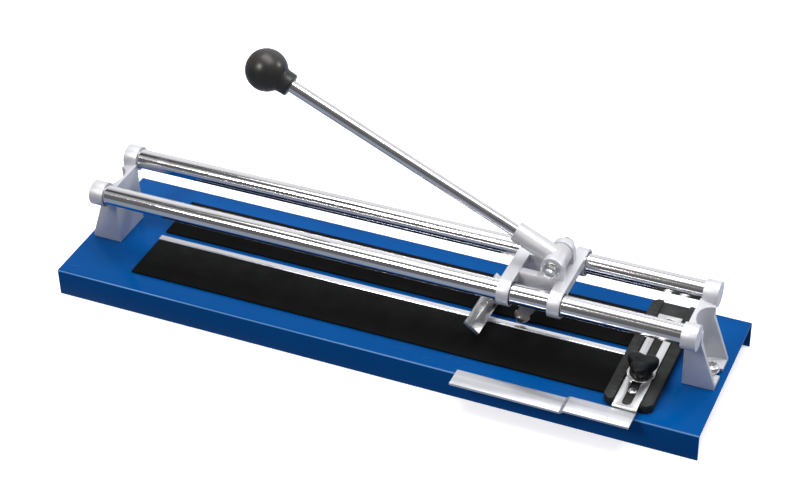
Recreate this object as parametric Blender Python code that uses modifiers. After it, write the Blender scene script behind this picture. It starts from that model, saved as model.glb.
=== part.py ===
"""Manual tile cutter: a folded base, two rails, a scoring carriage with its lever, and a side gauge.

Lengths are in metres. +X runs along the rails to the fence, +Y to the back and +Z up.
The origin is at the middle of the footprint, on the surface that the cutter stands on.
"""

import math

import bmesh
import bpy
from mathutils import Matrix, Vector

MM = 0.001

# ---------------------------------------------------------------- clearances
SEAT_GAP = 0.3 * MM      # between pieces that rest on each other
RUN_GAP = 0.12 * MM      # radial, around a piece that slides or turns
SIDE_GAP = 0.4 * MM      # beside a piece that slides or turns
HOLE_GAP = 0.3 * MM      # radial, around a shank

# ---------------------------------------------------------------- base
BASE_LENGTH = 540 * MM
BASE_WIDTH = 143 * MM
BASE_HEIGHT = 23.8 * MM
SHEET = 1.5 * MM
BEND_RADIUS = 1.8 * MM

# ---------------------------------------------------------------- pads and snapping bar
PAD_THICKNESS = 1.5 * MM
PAD_WIDTH = 45.8 * MM
PAD_INNER_EDGE = 6.3 * MM
PAD_END_MARGIN = 58 * MM
BAR_WIDTH = 6.4 * MM
BAR_HEIGHT = 2.1 * MM
BAR_ROUND = 1.4 * MM
BAR_FORWARD = 2.6 * MM

# ---------------------------------------------------------------- rails and brackets
RAIL_DIAMETER = 16 * MM
RAIL_SPACING = 56 * MM
RAIL_HEIGHT = 77.5 * MM
BRACKET_END_MARGIN = 4.5 * MM
BRACKET_FOOT = 25 * MM
BRACKET_HEAD = 12.5 * MM
BRACKET_INSET = 9 * MM
BRACKET_WALL = 3 * MM
BRACKET_CORNER = 15 * MM
COLLAR_WALL = 1.7 * MM
COLLAR_LENGTH = 11.5 * MM
COLLAR_SETBACK = 1 * MM
COLLAR_END_WALL = 3 * MM
NOTCH_DEPTH = 7.5 * MM
BRACKET_SCREW_DIAMETER = 6 * MM

# ---------------------------------------------------------------- carriage
CARRIAGE_X = 123.3 * MM
BRIDGE_SPACING = 40.5 * MM
BRIDGE_LENGTH = 10 * MM
BRIDGE_DEPTH = 7.7 * MM
BUSH_WALL = 0.9 * MM
RING_WALL = 1.6 * MM
RING_LIFT = 0.4 * MM
RING_RECESS = 0.2 * MM
CHEEK_THICKNESS = 6 * MM
CHEEK_DROP = 7.5 * MM
LUG_RADIUS = 9 * MM
PIVOT_X = 10.7 * MM
PIVOT_RISE = 20.5 * MM
PIVOT_DIAMETER = 6 * MM
PIVOT_WASHER_DIAMETER = 12.5 * MM
WASHER_THICKNESS = 1.2 * MM

# ---------------------------------------------------------------- lever
HUB_WIDTH = 16.4 * MM
HUB_RADIUS = 8.5 * MM
LEVER_ANGLE = math.radians(25.4)
LEVER_LENGTH = 262 * MM
ROD_DIAMETER = 10 * MM
SOCKET_WALL = 3 * MM
SOCKET_LENGTH = 38 * MM
SOCKET_DEPTH = 22 * MM
BALL_DIAMETER = 33.2 * MM
BALL_COLLAR_DIAMETER = 18.6 * MM
BALL_COLLAR_REACH = 22.3 * MM
BALL_BORE_DEPTH = 26 * MM

# ---------------------------------------------------------------- scoring wheel and its arm
WHEEL_DIAMETER = 13 * MM
WHEEL_THICKNESS = 3.6 * MM
WHEEL_BEVEL = 2.3 * MM
AXLE_DIAMETER = 3 * MM
ARM_WIDTH = 9.8 * MM
ARM_TOP_RADIUS = 7 * MM
ARM_LOW_RADIUS = 6.3 * MM
FORK_TIP_RADIUS = 3.1 * MM
FORK_RISE = 14.5 * MM
WHEEL_CLEAR = 1.4 * MM
WHEEL_BACK = 28.2 * MM

# ---------------------------------------------------------------- breaker
BREAKER_BACK = 50.8 * MM
BREAKER_DROP = 51.9 * MM
BREAKER_ANGLE = math.radians(38)
BREAKER_SPAN = 66 * MM
BREAKER_WIDTH = 14.1 * MM
BREAKER_THICKNESS = 3 * MM
BREAKER_STANDOFF = 9 * MM
BREAKER_PIN_DIAMETER = 5 * MM
BREAKER_EAR = 3 * MM
BREAKER_EAR_RADIUS = 5.2 * MM
RIB_HEIGHT = 3.6 * MM
RIB_THICKNESS = 2.6 * MM
RIB_END_MARGIN = 9 * MM
NOSE_WIDTH = 8 * MM
NOSE_RADIUS = 4.8 * MM
NOSE_ROOT_RADIUS = 6 * MM
NOSE_ROOT = 0.55

# ---------------------------------------------------------------- fence, gauge strip and stop arm
FENCE_X = 211.7 * MM
FENCE_WIDTH = 38 * MM
FENCE_LENGTH = 126 * MM
FENCE_HEIGHT = 7.3 * MM
FENCE_CHAMFER = 4 * MM
CHANNEL_SIDE = 1.2 * MM
CHANNEL_DEPTH = 2 * MM
STRIP_WIDTH = 19 * MM
STRIP_THICKNESS = 1.5 * MM
STRIP_FRONT = 69.6 * MM
STRIP_REAR = 46 * MM
SLOT_WIDTH = 7.2 * MM
SLOT_MARGIN = 3.7 * MM
ARM_PLATE_DEPTH = 17 * MM
ARM_PLATE_THICKNESS = 1.8 * MM
ARM_PLATE_BEHIND_STRIP = 0.9 * MM
ARM_PLATE_STEP = 2.2 * MM
ARM_PLATE_RAMP = 3.3 * MM
ARM_PLATE_HIGH_LENGTH = 50.5 * MM
ARM_PLATE_LOW_LENGTH = 87 * MM
TAB_LENGTH = 6 * MM

# ---------------------------------------------------------------- gauge clamp
KNOB_Y = 29 * MM
KNOB_FOOT_DIAMETER = 17.6 * MM
KNOB_HEIGHT = 12.4 * MM
KNOB_MEAN_RADIUS = 10.6 * MM
KNOB_LOBE = 2.7 * MM
KNOB_LOBES = 3
STUD_DIAMETER = 6 * MM
CLAMP_WASHER_DIAMETER = 21.5 * MM
GUIDE_SCREW_Y = 49 * MM
GUIDE_SCREW_DIAMETER = 4 * MM
GUIDE_HEAD_DIAMETER = 6.6 * MM
GUIDE_HEAD_HEIGHT = 2 * MM
REAR_SCREW_Y = 54 * MM

# ---------------------------------------------------------------- worked out from the above
PAD_BOTTOM = BASE_HEIGHT + SEAT_GAP
PAD_TOP = PAD_BOTTOM + PAD_THICKNESS
BAR_TOP = PAD_BOTTOM + BAR_HEIGHT
UNDERSIDE = BASE_HEIGHT - SHEET

RAIL_Y = RAIL_SPACING / 2
RAIL_RADIUS = RAIL_DIAMETER / 2
BRACKET_WIDTH = RAIL_SPACING - 2 * BRACKET_INSET
BRACKET_OUTER = BASE_LENGTH / 2 - BRACKET_END_MARGIN
BRACKET_INNER = BRACKET_OUTER - BRACKET_FOOT
COLLAR_RADIUS = RAIL_RADIUS + HOLE_GAP + COLLAR_WALL
COLLAR_INNER = BRACKET_INNER + COLLAR_SETBACK
RAIL_END = COLLAR_INNER + COLLAR_LENGTH - COLLAR_END_WALL - SEAT_GAP
BRACKET_FLOOR = BASE_HEIGHT + SEAT_GAP
NOTCH_X = BRACKET_OUTER - NOTCH_DEPTH

BUSH_RADIUS = RAIL_RADIUS + RUN_GAP + BUSH_WALL
RING_RADIUS = BUSH_RADIUS + HOLE_GAP + RING_WALL
BRIDGE_TOP = RAIL_HEIGHT + RING_LIFT + RING_RADIUS - 0.1 * MM
BRIDGE_X = BRIDGE_SPACING / 2
CHEEK_INNER = HUB_WIDTH / 2 + SIDE_GAP
CHEEK_OUTER = CHEEK_INNER + CHEEK_THICKNESS
PIVOT_Z = RAIL_HEIGHT + PIVOT_RISE
PIVOT_WORLD_X = CARRIAGE_X + PIVOT_X

WHEEL_RADIUS = WHEEL_DIAMETER / 2
WHEEL_DROP = PIVOT_Z - (BAR_TOP + SEAT_GAP + WHEEL_CLEAR + WHEEL_RADIUS)
ROD_RADIUS = ROD_DIAMETER / 2
SOCKET_RADIUS = ROD_RADIUS + SOCKET_WALL
BREAKER_TOP = -(BREAKER_STANDOFF)

FENCE_BOTTOM = BASE_HEIGHT + SEAT_GAP
FENCE_TOP = FENCE_BOTTOM + FENCE_HEIGHT
FENCE_LEFT = FENCE_X - FENCE_WIDTH / 2
CHANNEL_FLOOR = FENCE_TOP - CHANNEL_DEPTH
STRIP_BOTTOM = CHANNEL_FLOOR + SEAT_GAP
STRIP_TOP = STRIP_BOTTOM + STRIP_THICKNESS
ARM_RIGHT = FENCE_X + STRIP_WIDTH / 2
ARM_REAR = STRIP_FRONT + ARM_PLATE_BEHIND_STRIP
ARM_FRONT = ARM_REAR + ARM_PLATE_DEPTH
ARM_TOP = STRIP_BOTTOM - SEAT_GAP
PAD_RIGHT = FENCE_LEFT - SEAT_GAP
PAD_LEFT = -(BASE_LENGTH / 2 - PAD_END_MARGIN)
WASHER_BOTTOM = STRIP_TOP + SEAT_GAP
KNOB_BOTTOM = WASHER_BOTTOM + WASHER_THICKNESS + SEAT_GAP

# The stop arm reaches further out in front than the base does, so the base sits back by half of it.
BASE_SHIFT = (ARM_FRONT - BASE_WIDTH / 2) / 2

ROUND = 48
SMALL_ROUND = 24


# ================================================================ scene set-up

def clear_scene():
    for item in list(bpy.data.objects):
        bpy.data.objects.remove(item, do_unlink=True)


def new_collection(name):
    group = bpy.data.collections.new(name)
    bpy.context.scene.collection.children.link(group)
    return group


def new_material(name, colour, roughness, metallic=0.0):
    material = bpy.data.materials.new(name)
    material.use_nodes = True
    shader = material.node_tree.nodes["Principled BSDF"]
    shader.inputs["Base Color"].default_value = (*colour, 1.0)
    shader.inputs["Roughness"].default_value = roughness
    shader.inputs["Metallic"].default_value = metallic
    material.diffuse_color = (*colour, 1.0)
    return material


def new_empty(name, place, parent=None, turn=(0, 0, 0)):
    empty = bpy.data.objects.new(name, None)
    empty.location = place
    empty.rotation_euler = turn
    empty.parent = parent
    PARTS.objects.link(empty)
    return empty


# ================================================================ shapes

def finish_mesh(bm, name):
    """Write a bmesh out as a closed mesh whose faces point outwards."""
    bmesh.ops.remove_doubles(bm, verts=bm.verts, dist=0.001 * MM)
    bmesh.ops.recalc_face_normals(bm, faces=bm.faces)
    mesh = bpy.data.meshes.new(name)
    bm.to_mesh(mesh)
    bm.free()
    return mesh


def part(name, mesh, material, parent, place=(0, 0, 0), turn=(0, 0, 0)):
    """A piece of the cutter."""
    piece = bpy.data.objects.new(name, mesh)
    piece.location = place
    piece.rotation_euler = turn
    piece.parent = parent
    if not mesh.materials:
        mesh.materials.append(material)
    mesh.shade_smooth()
    mesh.set_sharp_from_angle(angle=math.radians(35))
    PARTS.objects.link(piece)
    return piece


def tool(name, mesh, parent, place=(0, 0, 0), turn=(0, 0, 0)):
    """A guide that cuts or adds to a piece, and isn't a piece itself."""
    guide = bpy.data.objects.new(name, mesh)
    guide.location = place
    guide.rotation_euler = turn
    guide.parent = parent
    guide.hide_render = True
    guide.display_type = "WIRE"
    CUTTERS.objects.link(guide)
    return guide


def boolean(piece, guide, operation):
    step = piece.modifiers.new(f"{operation.lower()} {guide.name}", "BOOLEAN")
    step.operation = operation
    step.solver = "EXACT"
    step.object = guide


def cut(piece, guide):
    boolean(piece, guide, "DIFFERENCE")


def join(piece, guide):
    boolean(piece, guide, "UNION")


def soften(piece, width, segments=2, angle=40):
    step = piece.modifiers.new("rounded edges", "BEVEL")
    step.width = width
    step.segments = segments
    step.limit_method = "ANGLE"
    step.angle_limit = math.radians(angle)


def block(name, low, high):
    """A box between two corners."""
    low = Vector(low)
    high = Vector(high)
    bm = bmesh.new()
    bmesh.ops.create_cube(bm, size=1.0)
    size = high - low
    bmesh.ops.scale(bm, vec=size, verts=bm.verts)
    bmesh.ops.translate(bm, vec=(low + high) / 2, verts=bm.verts)
    return finish_mesh(bm, name)


def bar_along(name, start, end, radius, sides=ROUND, end_radius=None):
    """A round or many-sided bar between two points, with flat ends."""
    start = Vector(start)
    end = Vector(end)
    axis = end - start
    bm = bmesh.new()
    bmesh.ops.create_cone(
        bm, cap_ends=True, cap_tris=False, segments=sides,
        radius1=radius, radius2=radius if end_radius is None else end_radius, depth=axis.length)
    turn = Vector((0, 0, 1)).rotation_difference(axis.normalized()).to_matrix().to_4x4()
    bmesh.ops.transform(bm, matrix=Matrix.Translation((start + end) / 2) @ turn, verts=bm.verts)
    return finish_mesh(bm, name)


def arc(centre, radius, start, end, steps=12):
    """Points on an arc, angles in degrees."""
    points = []
    for step in range(steps + 1):
        angle = math.radians(start + (end - start) * step / steps)
        points.append((centre[0] + radius * math.cos(angle), centre[1] + radius * math.sin(angle)))
    return points


def link_outline(first, first_radius, second, second_radius, steps=12):
    """Two discs and the straight sides that touch both."""
    first = Vector(first)
    second = Vector(second)
    run = second - first
    heading = math.degrees(math.atan2(run.y, run.x))
    spread = math.degrees(math.acos((first_radius - second_radius) / run.length))
    far = arc(second, second_radius, heading - spread, heading + spread, steps)
    near = arc(first, first_radius, heading + spread, heading + 360 - spread, steps)
    return far + near


PLANES = {
    "XY": Matrix.Identity(4),
    "XZ": Matrix.Rotation(math.radians(90), 4, "X"),
    "YZ": Matrix.Rotation(math.radians(90), 4, "Z") @ Matrix.Rotation(math.radians(90), 4, "X"),
}


def slab(name, outline, thickness, plane, offset=0.0):
    """A flat outline filled and given a thickness, centred on its plane at the offset."""
    curve = bpy.data.curves.new(name, "CURVE")
    curve.dimensions = "2D"
    curve.fill_mode = "BOTH"
    curve.extrude = thickness / 2
    spline = curve.splines.new("POLY")
    spline.points.add(len(outline) - 1)
    for point, (across, up) in zip(spline.points, outline):
        point.co = (across, up, 0, 1)
    spline.use_cyclic_u = True
    holder = bpy.data.objects.new(name, curve)
    bpy.context.scene.collection.objects.link(holder)
    bpy.context.view_layer.update()
    flat = bpy.data.meshes.new_from_object(holder.evaluated_get(bpy.context.evaluated_depsgraph_get()))
    bm = bmesh.new()
    bm.from_mesh(flat)
    bpy.data.objects.remove(holder)
    bpy.data.curves.remove(curve)
    bpy.data.meshes.remove(flat)
    normal_shift = {"XY": (0, 0, offset), "XZ": (0, offset, 0), "YZ": (offset, 0, 0)}[plane]
    bmesh.ops.transform(bm, matrix=Matrix.Translation(normal_shift) @ PLANES[plane], verts=bm.verts)
    return finish_mesh(bm, name)


def turned(name, profile, sides=ROUND):
    """A shape turned about Z, from a closed or axis-to-axis profile of radius and height."""
    bm = bmesh.new()
    ring = [bm.verts.new((radius, 0, height)) for radius, height in profile]
    edges = [bm.edges.new(pair) for pair in zip(ring, ring[1:])]
    if profile[0][0] > 0:
        edges.append(bm.edges.new((ring[-1], ring[0])))
    bmesh.ops.spin(
        bm, geom=ring + edges, cent=(0, 0, 0), axis=(0, 0, 1), angle=math.radians(360),
        steps=sides, use_merge=True)
    return finish_mesh(bm, name)


# ================================================================ base, pads and bar

def make_base(frame):
    """The folded base: its top with both bends, and the flange that goes on down from each bend."""
    half = BASE_WIDTH / 2
    bend_z = BASE_HEIGHT - BEND_RADIUS
    inner = BEND_RADIUS - SHEET
    across = half - BEND_RADIUS
    outline = arc((across, bend_z), BEND_RADIUS, 0, 90, 5) + arc((-across, bend_z), BEND_RADIUS, 90, 180, 5)
    outline += arc((-across, bend_z), inner, 180, 90, 3) + arc((across, bend_z), inner, 90, 0, 3)
    base = part("base", slab("base", outline, BASE_LENGTH, "YZ"), BLUE_PAINT, frame)
    for name, place, diameter in screw_holes():
        low = (place[0], place[1], UNDERSIDE - SHEET)
        high = (place[0], place[1], BASE_HEIGHT + SHEET)
        hole = bar_along(name, low, high, diameter / 2 + HOLE_GAP, SMALL_ROUND)
        cut(base, tool(name, hole, frame))
    for name, side in (("front_flange", -1), ("rear_flange", 1)):
        edges = sorted((side * half, side * (half - SHEET)))
        low = (-BASE_LENGTH / 2, edges[0], 0)
        high = (BASE_LENGTH / 2, edges[1], bend_z - SEAT_GAP)
        part(name, block(name, low, high), BLUE_PAINT, frame)


def screw_holes():
    """Name, place and shank diameter of each hole through the base's top."""
    return [
        ("left bracket hole", (-NOTCH_X, 0), BRACKET_SCREW_DIAMETER),
        ("right bracket hole", (NOTCH_X, 0), BRACKET_SCREW_DIAMETER),
        ("guide screw hole", (FENCE_X, -GUIDE_SCREW_Y), GUIDE_SCREW_DIAMETER),
        ("clamp stud hole", (FENCE_X, -KNOB_Y), STUD_DIAMETER),
        ("rear screw hole", (FENCE_X, REAR_SCREW_Y), GUIDE_SCREW_DIAMETER),
    ]


def make_pads(frame):
    for name, side in (("front_pad", -1), ("rear_pad", 1)):
        edges = sorted((side * PAD_INNER_EDGE, side * (PAD_INNER_EDGE + PAD_WIDTH)))
        mesh = block(name, (PAD_LEFT, edges[0], PAD_BOTTOM), (PAD_RIGHT, edges[1], PAD_TOP))
        pad = part(name, mesh, BLACK_RUBBER, frame)
        soften(pad, 0.4 * MM)


def make_snapping_bar(frame):
    """A bar with a rounded top, between the pads and nearer the front one."""
    front = -BAR_FORWARD - BAR_WIDTH / 2
    rear = -BAR_FORWARD + BAR_WIDTH / 2
    outline = [(front, PAD_BOTTOM), (rear, PAD_BOTTOM)]
    outline += arc((rear - BAR_ROUND, BAR_TOP - BAR_ROUND), BAR_ROUND, 0, 90, 5)
    outline += arc((front + BAR_ROUND, BAR_TOP - BAR_ROUND), BAR_ROUND, 90, 180, 5)
    length = PAD_RIGHT - PAD_LEFT
    mesh = slab("snapping_bar", outline, length, "YZ", (PAD_LEFT + PAD_RIGHT) / 2)
    part("snapping_bar", mesh, BRIGHT_STEEL, frame)


# ================================================================ brackets and rails

def make_bracket(frame, name, side):
    """A cast bracket: a floor, a web and two flared walls, with a collar at each top corner."""
    floor_top = BRACKET_FLOOR + BRACKET_WALL
    head_x = BRACKET_INNER + BRACKET_HEAD
    outline = [
        (side * BRACKET_INNER, BRACKET_FLOOR),
        (side * BRACKET_OUTER, BRACKET_FLOOR),
        (side * BRACKET_OUTER, floor_top),
        (side * head_x, RAIL_HEIGHT - COLLAR_RADIUS - BRACKET_WALL),
        (side * head_x, RAIL_HEIGHT - BRACKET_WALL),
        (side * BRACKET_INNER, RAIL_HEIGHT - SEAT_GAP),
    ]
    bracket = part(name, slab(name, outline, BRACKET_WIDTH, "XZ"), CAST_ALUMINIUM, frame)

    # The space between the walls, open outwards and upwards, with round corners at the web.
    web_x = BRACKET_INNER + BRACKET_WALL
    half = BRACKET_WIDTH / 2 - BRACKET_WALL
    past = BRACKET_OUTER + BRACKET_FOOT
    inside = [(past, -half), (past, half)]
    inside += arc((web_x + BRACKET_CORNER, half - BRACKET_CORNER), BRACKET_CORNER, 90, 180, 6)
    inside += arc((web_x + BRACKET_CORNER, BRACKET_CORNER - half), BRACKET_CORNER, 180, 270, 6)
    inside = [(side * across, along) for across, along in inside]
    depth = RAIL_HEIGHT + COLLAR_RADIUS - floor_top
    pocket = slab(f"{name} pocket", inside, depth, "XY", floor_top + depth / 2)
    cut(bracket, tool(f"{name} pocket", pocket, frame))

    for place, rail_y in (("front", -RAIL_Y), ("rear", RAIL_Y)):
        inner = (side * COLLAR_INNER, rail_y, RAIL_HEIGHT)
        outer = (side * (COLLAR_INNER + COLLAR_LENGTH), rail_y, RAIL_HEIGHT)
        collar = bar_along(f"{name} {place} collar", inner, outer, COLLAR_RADIUS)
        join(bracket, tool(f"{name} {place} collar", collar, frame))
        mouth = (side * (COLLAR_INNER - COLLAR_WALL), rail_y, RAIL_HEIGHT)
        end = (side * (RAIL_END + SEAT_GAP), rail_y, RAIL_HEIGHT)
        socket = bar_along(f"{name} {place} socket", mouth, end, RAIL_RADIUS + HOLE_GAP)
        cut(bracket, tool(f"{name} {place} socket", socket, frame))

    notch_half = BRACKET_SCREW_DIAMETER / 2 + 4 * HOLE_GAP
    notch = [(past, -notch_half), (past, notch_half)] + arc((NOTCH_X, 0), notch_half, 90, 270)
    notch = [(side * across, along) for across, along in notch]
    slot = slab(f"{name} notch", notch, 4 * BRACKET_WALL, "XY", BRACKET_FLOOR)
    cut(bracket, tool(f"{name} notch", slot, frame))
    return bracket


def make_rails(frame):
    for name, rail_y in (("front_rail", -RAIL_Y), ("rear_rail", RAIL_Y)):
        start = (-RAIL_END, rail_y, RAIL_HEIGHT)
        end = (RAIL_END, rail_y, RAIL_HEIGHT)
        rail = part(name, bar_along(name, start, end, RAIL_RADIUS), CHROME, frame)
        soften(rail, 0.6 * MM, 1)


# ================================================================ fasteners

def make_screw(frame, name, place, shank, length, head, head_height, material, turn=(0, 0, 0)):
    """A pan-head screw. The place is under the head, and the shank runs down from it."""
    dome = 0.35 * head_height
    profile = [(0, head_height)]
    profile += [(head / 2 - 2 * dome, head_height), (head / 2 - 0.6 * dome, head_height - 0.4 * dome)]
    profile += [(head / 2, head_height - 1.6 * dome), (head / 2, 0), (shank / 2, 0)]
    profile += [(shank / 2, -length), (0, -length)]
    return part(name, turned(name, profile, SMALL_ROUND), material, frame, place, turn)


def make_washer(frame, name, place, outer, inner, thickness, material, turn=(0, 0, 0)):
    profile = [
        (outer / 2, thickness), (outer / 2, 0),
        (inner / 2 + HOLE_GAP, 0), (inner / 2 + HOLE_GAP, thickness),
    ]
    return part(name, turned(name, profile, 32), material, frame, place, turn)


def make_nut(frame, name, place, shank, across_flats, height, material, turn=(0, 0, 0)):
    """A hexagon nut that stands up from its place."""
    hexagon = bar_along(name, (0, 0, 0), (0, 0, height), across_flats / math.sqrt(3), 6)
    nut = part(name, hexagon, material, frame, place, turn)
    bore = bar_along(f"{name} bore", (0, 0, -height), (0, 0, 2 * height), shank / 2 + HOLE_GAP, SMALL_ROUND)
    cut(nut, tool(f"{name} bore", bore, frame, place, turn))
    return nut


def make_bracket_fasteners(frame, name, side):
    floor_top = BRACKET_FLOOR + BRACKET_WALL
    washer_z = floor_top + SEAT_GAP
    head_z = washer_z + WASHER_THICKNESS + SEAT_GAP
    nut_height = 5 * MM
    nut_z = UNDERSIDE - SEAT_GAP - nut_height
    spot = side * NOTCH_X
    diameter = BRACKET_SCREW_DIAMETER
    make_washer(frame, f"{name}_bracket_washer", (spot, 0, washer_z), 2 * diameter, diameter,
                WASHER_THICKNESS, ZINC)
    make_screw(frame, f"{name}_bracket_screw", (spot, 0, head_z), diameter,
               head_z - nut_z + SHEET, 1.8 * diameter, 0.55 * diameter, ZINC)
    make_nut(frame, f"{name}_bracket_nut", (spot, 0, nut_z), diameter, 10 * MM, nut_height, ZINC)


# ================================================================ carriage

def make_carriage(carriage):
    """Two bridges over the rails, with a ring around each rail, tied by two cheeks with a pivot lug."""
    low = BRIDGE_TOP - BRIDGE_DEPTH - RAIL_HEIGHT
    high = BRIDGE_TOP - RAIL_HEIGHT
    half = BRIDGE_LENGTH / 2

    def bridge(name, centre):
        return block(name, (centre - half, -RAIL_Y, low), (centre + half, RAIL_Y, high))

    body = part("carriage_body", bridge("carriage_body", -BRIDGE_X), CAST_ALUMINIUM, carriage)
    join(body, tool("cheek front", cheek("cheek front", -1, high), carriage))
    join(body, tool("cheek rear", cheek("cheek rear", 1, high), carriage))
    join(body, tool("right bridge", bridge("right bridge", BRIDGE_X), carriage))
    for end, centre in (("left", -BRIDGE_X), ("right", BRIDGE_X)):
        for place, rail_y in (("front", -RAIL_Y), ("rear", RAIL_Y)):
            name = f"{end} {place} ring"
            start = (centre - half + RING_RECESS, rail_y, RING_LIFT)
            finish = (centre + half - RING_RECESS, rail_y, RING_LIFT)
            join(body, tool(name, bar_along(name, start, finish, RING_RADIUS), carriage))
    for end, centre in (("left", -BRIDGE_X), ("right", BRIDGE_X)):
        for place, rail_y in (("front", -RAIL_Y), ("rear", RAIL_Y)):
            name = f"{end} {place} bore"
            start = (centre - BRIDGE_LENGTH, rail_y, 0)
            finish = (centre + BRIDGE_LENGTH, rail_y, 0)
            cut(body, tool(name, bar_along(name, start, finish, BUSH_RADIUS + HOLE_GAP), carriage))
    start = (PIVOT_X, -2 * CHEEK_OUTER, PIVOT_RISE)
    finish = (PIVOT_X, 2 * CHEEK_OUTER, PIVOT_RISE)
    bore = bar_along("pivot bore", start, finish, PIVOT_DIAMETER / 2 + HOLE_GAP, SMALL_ROUND)
    cut(body, tool("pivot bore", bore, carriage))
    return body


def cheek(name, side, bridge_top):
    """A side plate of the carriage. Its lug rises around the pivot."""
    top = bridge_top - 0.5 * MM
    reach = BRIDGE_X
    foot = PIVOT_X - LUG_RADIUS - 3 * MM
    outline = [(-reach, -CHEEK_DROP), (reach, -CHEEK_DROP), (reach, top)]
    outline += arc((PIVOT_X, PIVOT_RISE), LUG_RADIUS, 0, 180, 16)
    outline += [(PIVOT_X - LUG_RADIUS, top + 3 * MM), (foot, top), (-reach, top)]
    return slab(name, outline, CHEEK_THICKNESS, "XZ", side * (CHEEK_INNER + CHEEK_THICKNESS / 2))


def make_bushes(carriage):
    """A plain sliding bush pressed into each ring, just below its faces."""
    inner = RAIL_RADIUS + RUN_GAP
    half = BRIDGE_LENGTH / 2 - 2 * RING_RECESS
    profile = [(inner, half), (BUSH_RADIUS, half), (BUSH_RADIUS, -half), (inner, -half)]
    for end, side in (("left", -1), ("right", 1)):
        for place, rail_y in (("front", -RAIL_Y), ("rear", RAIL_Y)):
            name = f"{end}_{place}_bush"
            spot = (side * BRIDGE_X, rail_y, 0)
            part(name, turned(name, profile), BLACK_NYLON, carriage, spot, (0, side * math.pi / 2, 0))


def make_pivot_fasteners(carriage):
    """The lever's bolt from the front, through both cheeks and the hub, to a nut at the back."""
    washer_inner = CHEEK_OUTER + SEAT_GAP
    head_inner = washer_inner + WASHER_THICKNESS + SEAT_GAP
    head_height = 3.6 * MM
    nut_height = 5 * MM
    forward = (math.pi / 2, 0, 0)
    backward = (-math.pi / 2, 0, 0)
    make_washer(carriage, "pivot_washer_front", (PIVOT_X, -washer_inner, PIVOT_RISE),
                PIVOT_WASHER_DIAMETER, PIVOT_DIAMETER, WASHER_THICKNESS, ZINC, forward)
    make_washer(carriage, "pivot_washer_rear", (PIVOT_X, washer_inner, PIVOT_RISE),
                PIVOT_WASHER_DIAMETER, PIVOT_DIAMETER, WASHER_THICKNESS, ZINC, backward)
    make_nut(carriage, "pivot_nut", (PIVOT_X, head_inner, PIVOT_RISE),
             PIVOT_DIAMETER, 10 * MM, nut_height, ZINC, backward)
    head = bar_along("pivot_bolt", (0, 0, 0), (0, 0, head_height), 10 * MM / math.sqrt(3), 6)
    bolt = part("pivot_bolt", head, ZINC, carriage, (PIVOT_X, -head_inner, PIVOT_RISE), forward)
    length = 2 * head_inner + nut_height + 2 * MM
    shank = bar_along("pivot shank", (0, 0, head_height / 2), (0, 0, -length), PIVOT_DIAMETER / 2, SMALL_ROUND)
    join(bolt, tool("pivot shank", shank, carriage, bolt.location, forward))


# ================================================================ lever

def along_lever(distance):
    """A point on the handle rod's line, at a distance from the pivot."""
    return Vector((-distance * math.cos(LEVER_ANGLE), 0, distance * math.sin(LEVER_ANGLE)))


def make_lever_hub(lever):
    """The lever's block: a boss on the pivot, a socket for the rod, the wheel's fork and the breaker's nose."""
    half = HUB_WIDTH / 2
    boss = bar_along("lever_hub", (0, -half, 0), (0, half, 0), HUB_RADIUS)
    hub = part("lever_hub", boss, CAST_ALUMINIUM, lever)

    socket = bar_along("rod socket", (0, 0, 0), along_lever(SOCKET_LENGTH), SOCKET_RADIUS)
    join(hub, tool("rod socket", socket, lever))

    axle = Vector((-WHEEL_BACK, -WHEEL_DROP))
    shoulder = axle * (1 - FORK_RISE / axle.length)
    arm = slab("wheel arm", link_outline((0, 0), ARM_TOP_RADIUS, shoulder, ARM_LOW_RADIUS), ARM_WIDTH, "XZ")
    join(hub, tool("wheel arm", arm, lever))
    tip = link_outline(shoulder, ARM_LOW_RADIUS - 0.2 * MM, axle, FORK_TIP_RADIUS)
    join(hub, tool("fork tip", slab("fork tip", tip, ARM_WIDTH - 0.4 * MM, "XZ"), lever))

    pin = Vector((-BREAKER_BACK, -BREAKER_DROP))
    nose = slab("nose", link_outline(axle * NOSE_ROOT, NOSE_ROOT_RADIUS, pin, NOSE_RADIUS), NOSE_WIDTH, "XZ")
    join(hub, tool("nose", nose, lever))

    slot_half = WHEEL_THICKNESS / 2 + SIDE_GAP
    heading = axle.normalized()
    slot = link_outline(axle, WHEEL_RADIUS + SIDE_GAP, axle + heading * 3 * WHEEL_RADIUS,
                        WHEEL_RADIUS + 2 * SIDE_GAP)
    cut(hub, tool("wheel slot", slab("wheel slot", slot, 2 * slot_half, "XZ"), lever))

    for name, spot, diameter, gap in (
            ("hub pivot bore", Vector((0, 0)), PIVOT_DIAMETER, RUN_GAP),
            ("hub axle bore", axle, AXLE_DIAMETER, HOLE_GAP),
            ("hub pin bore", pin, BREAKER_PIN_DIAMETER, HOLE_GAP)):
        start = (spot.x, -HUB_WIDTH, spot.y)
        end = (spot.x, HUB_WIDTH, spot.y)
        bore = bar_along(name, start, end, diameter / 2 + gap, SMALL_ROUND)
        cut(hub, tool(name, bore, lever))
    rod_start = along_lever(SOCKET_LENGTH - SOCKET_DEPTH - SEAT_GAP)
    rod_bore = bar_along("rod bore", rod_start, along_lever(2 * SOCKET_LENGTH), ROD_RADIUS + HOLE_GAP)
    cut(hub, tool("rod bore", rod_bore, lever))
    return hub


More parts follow.
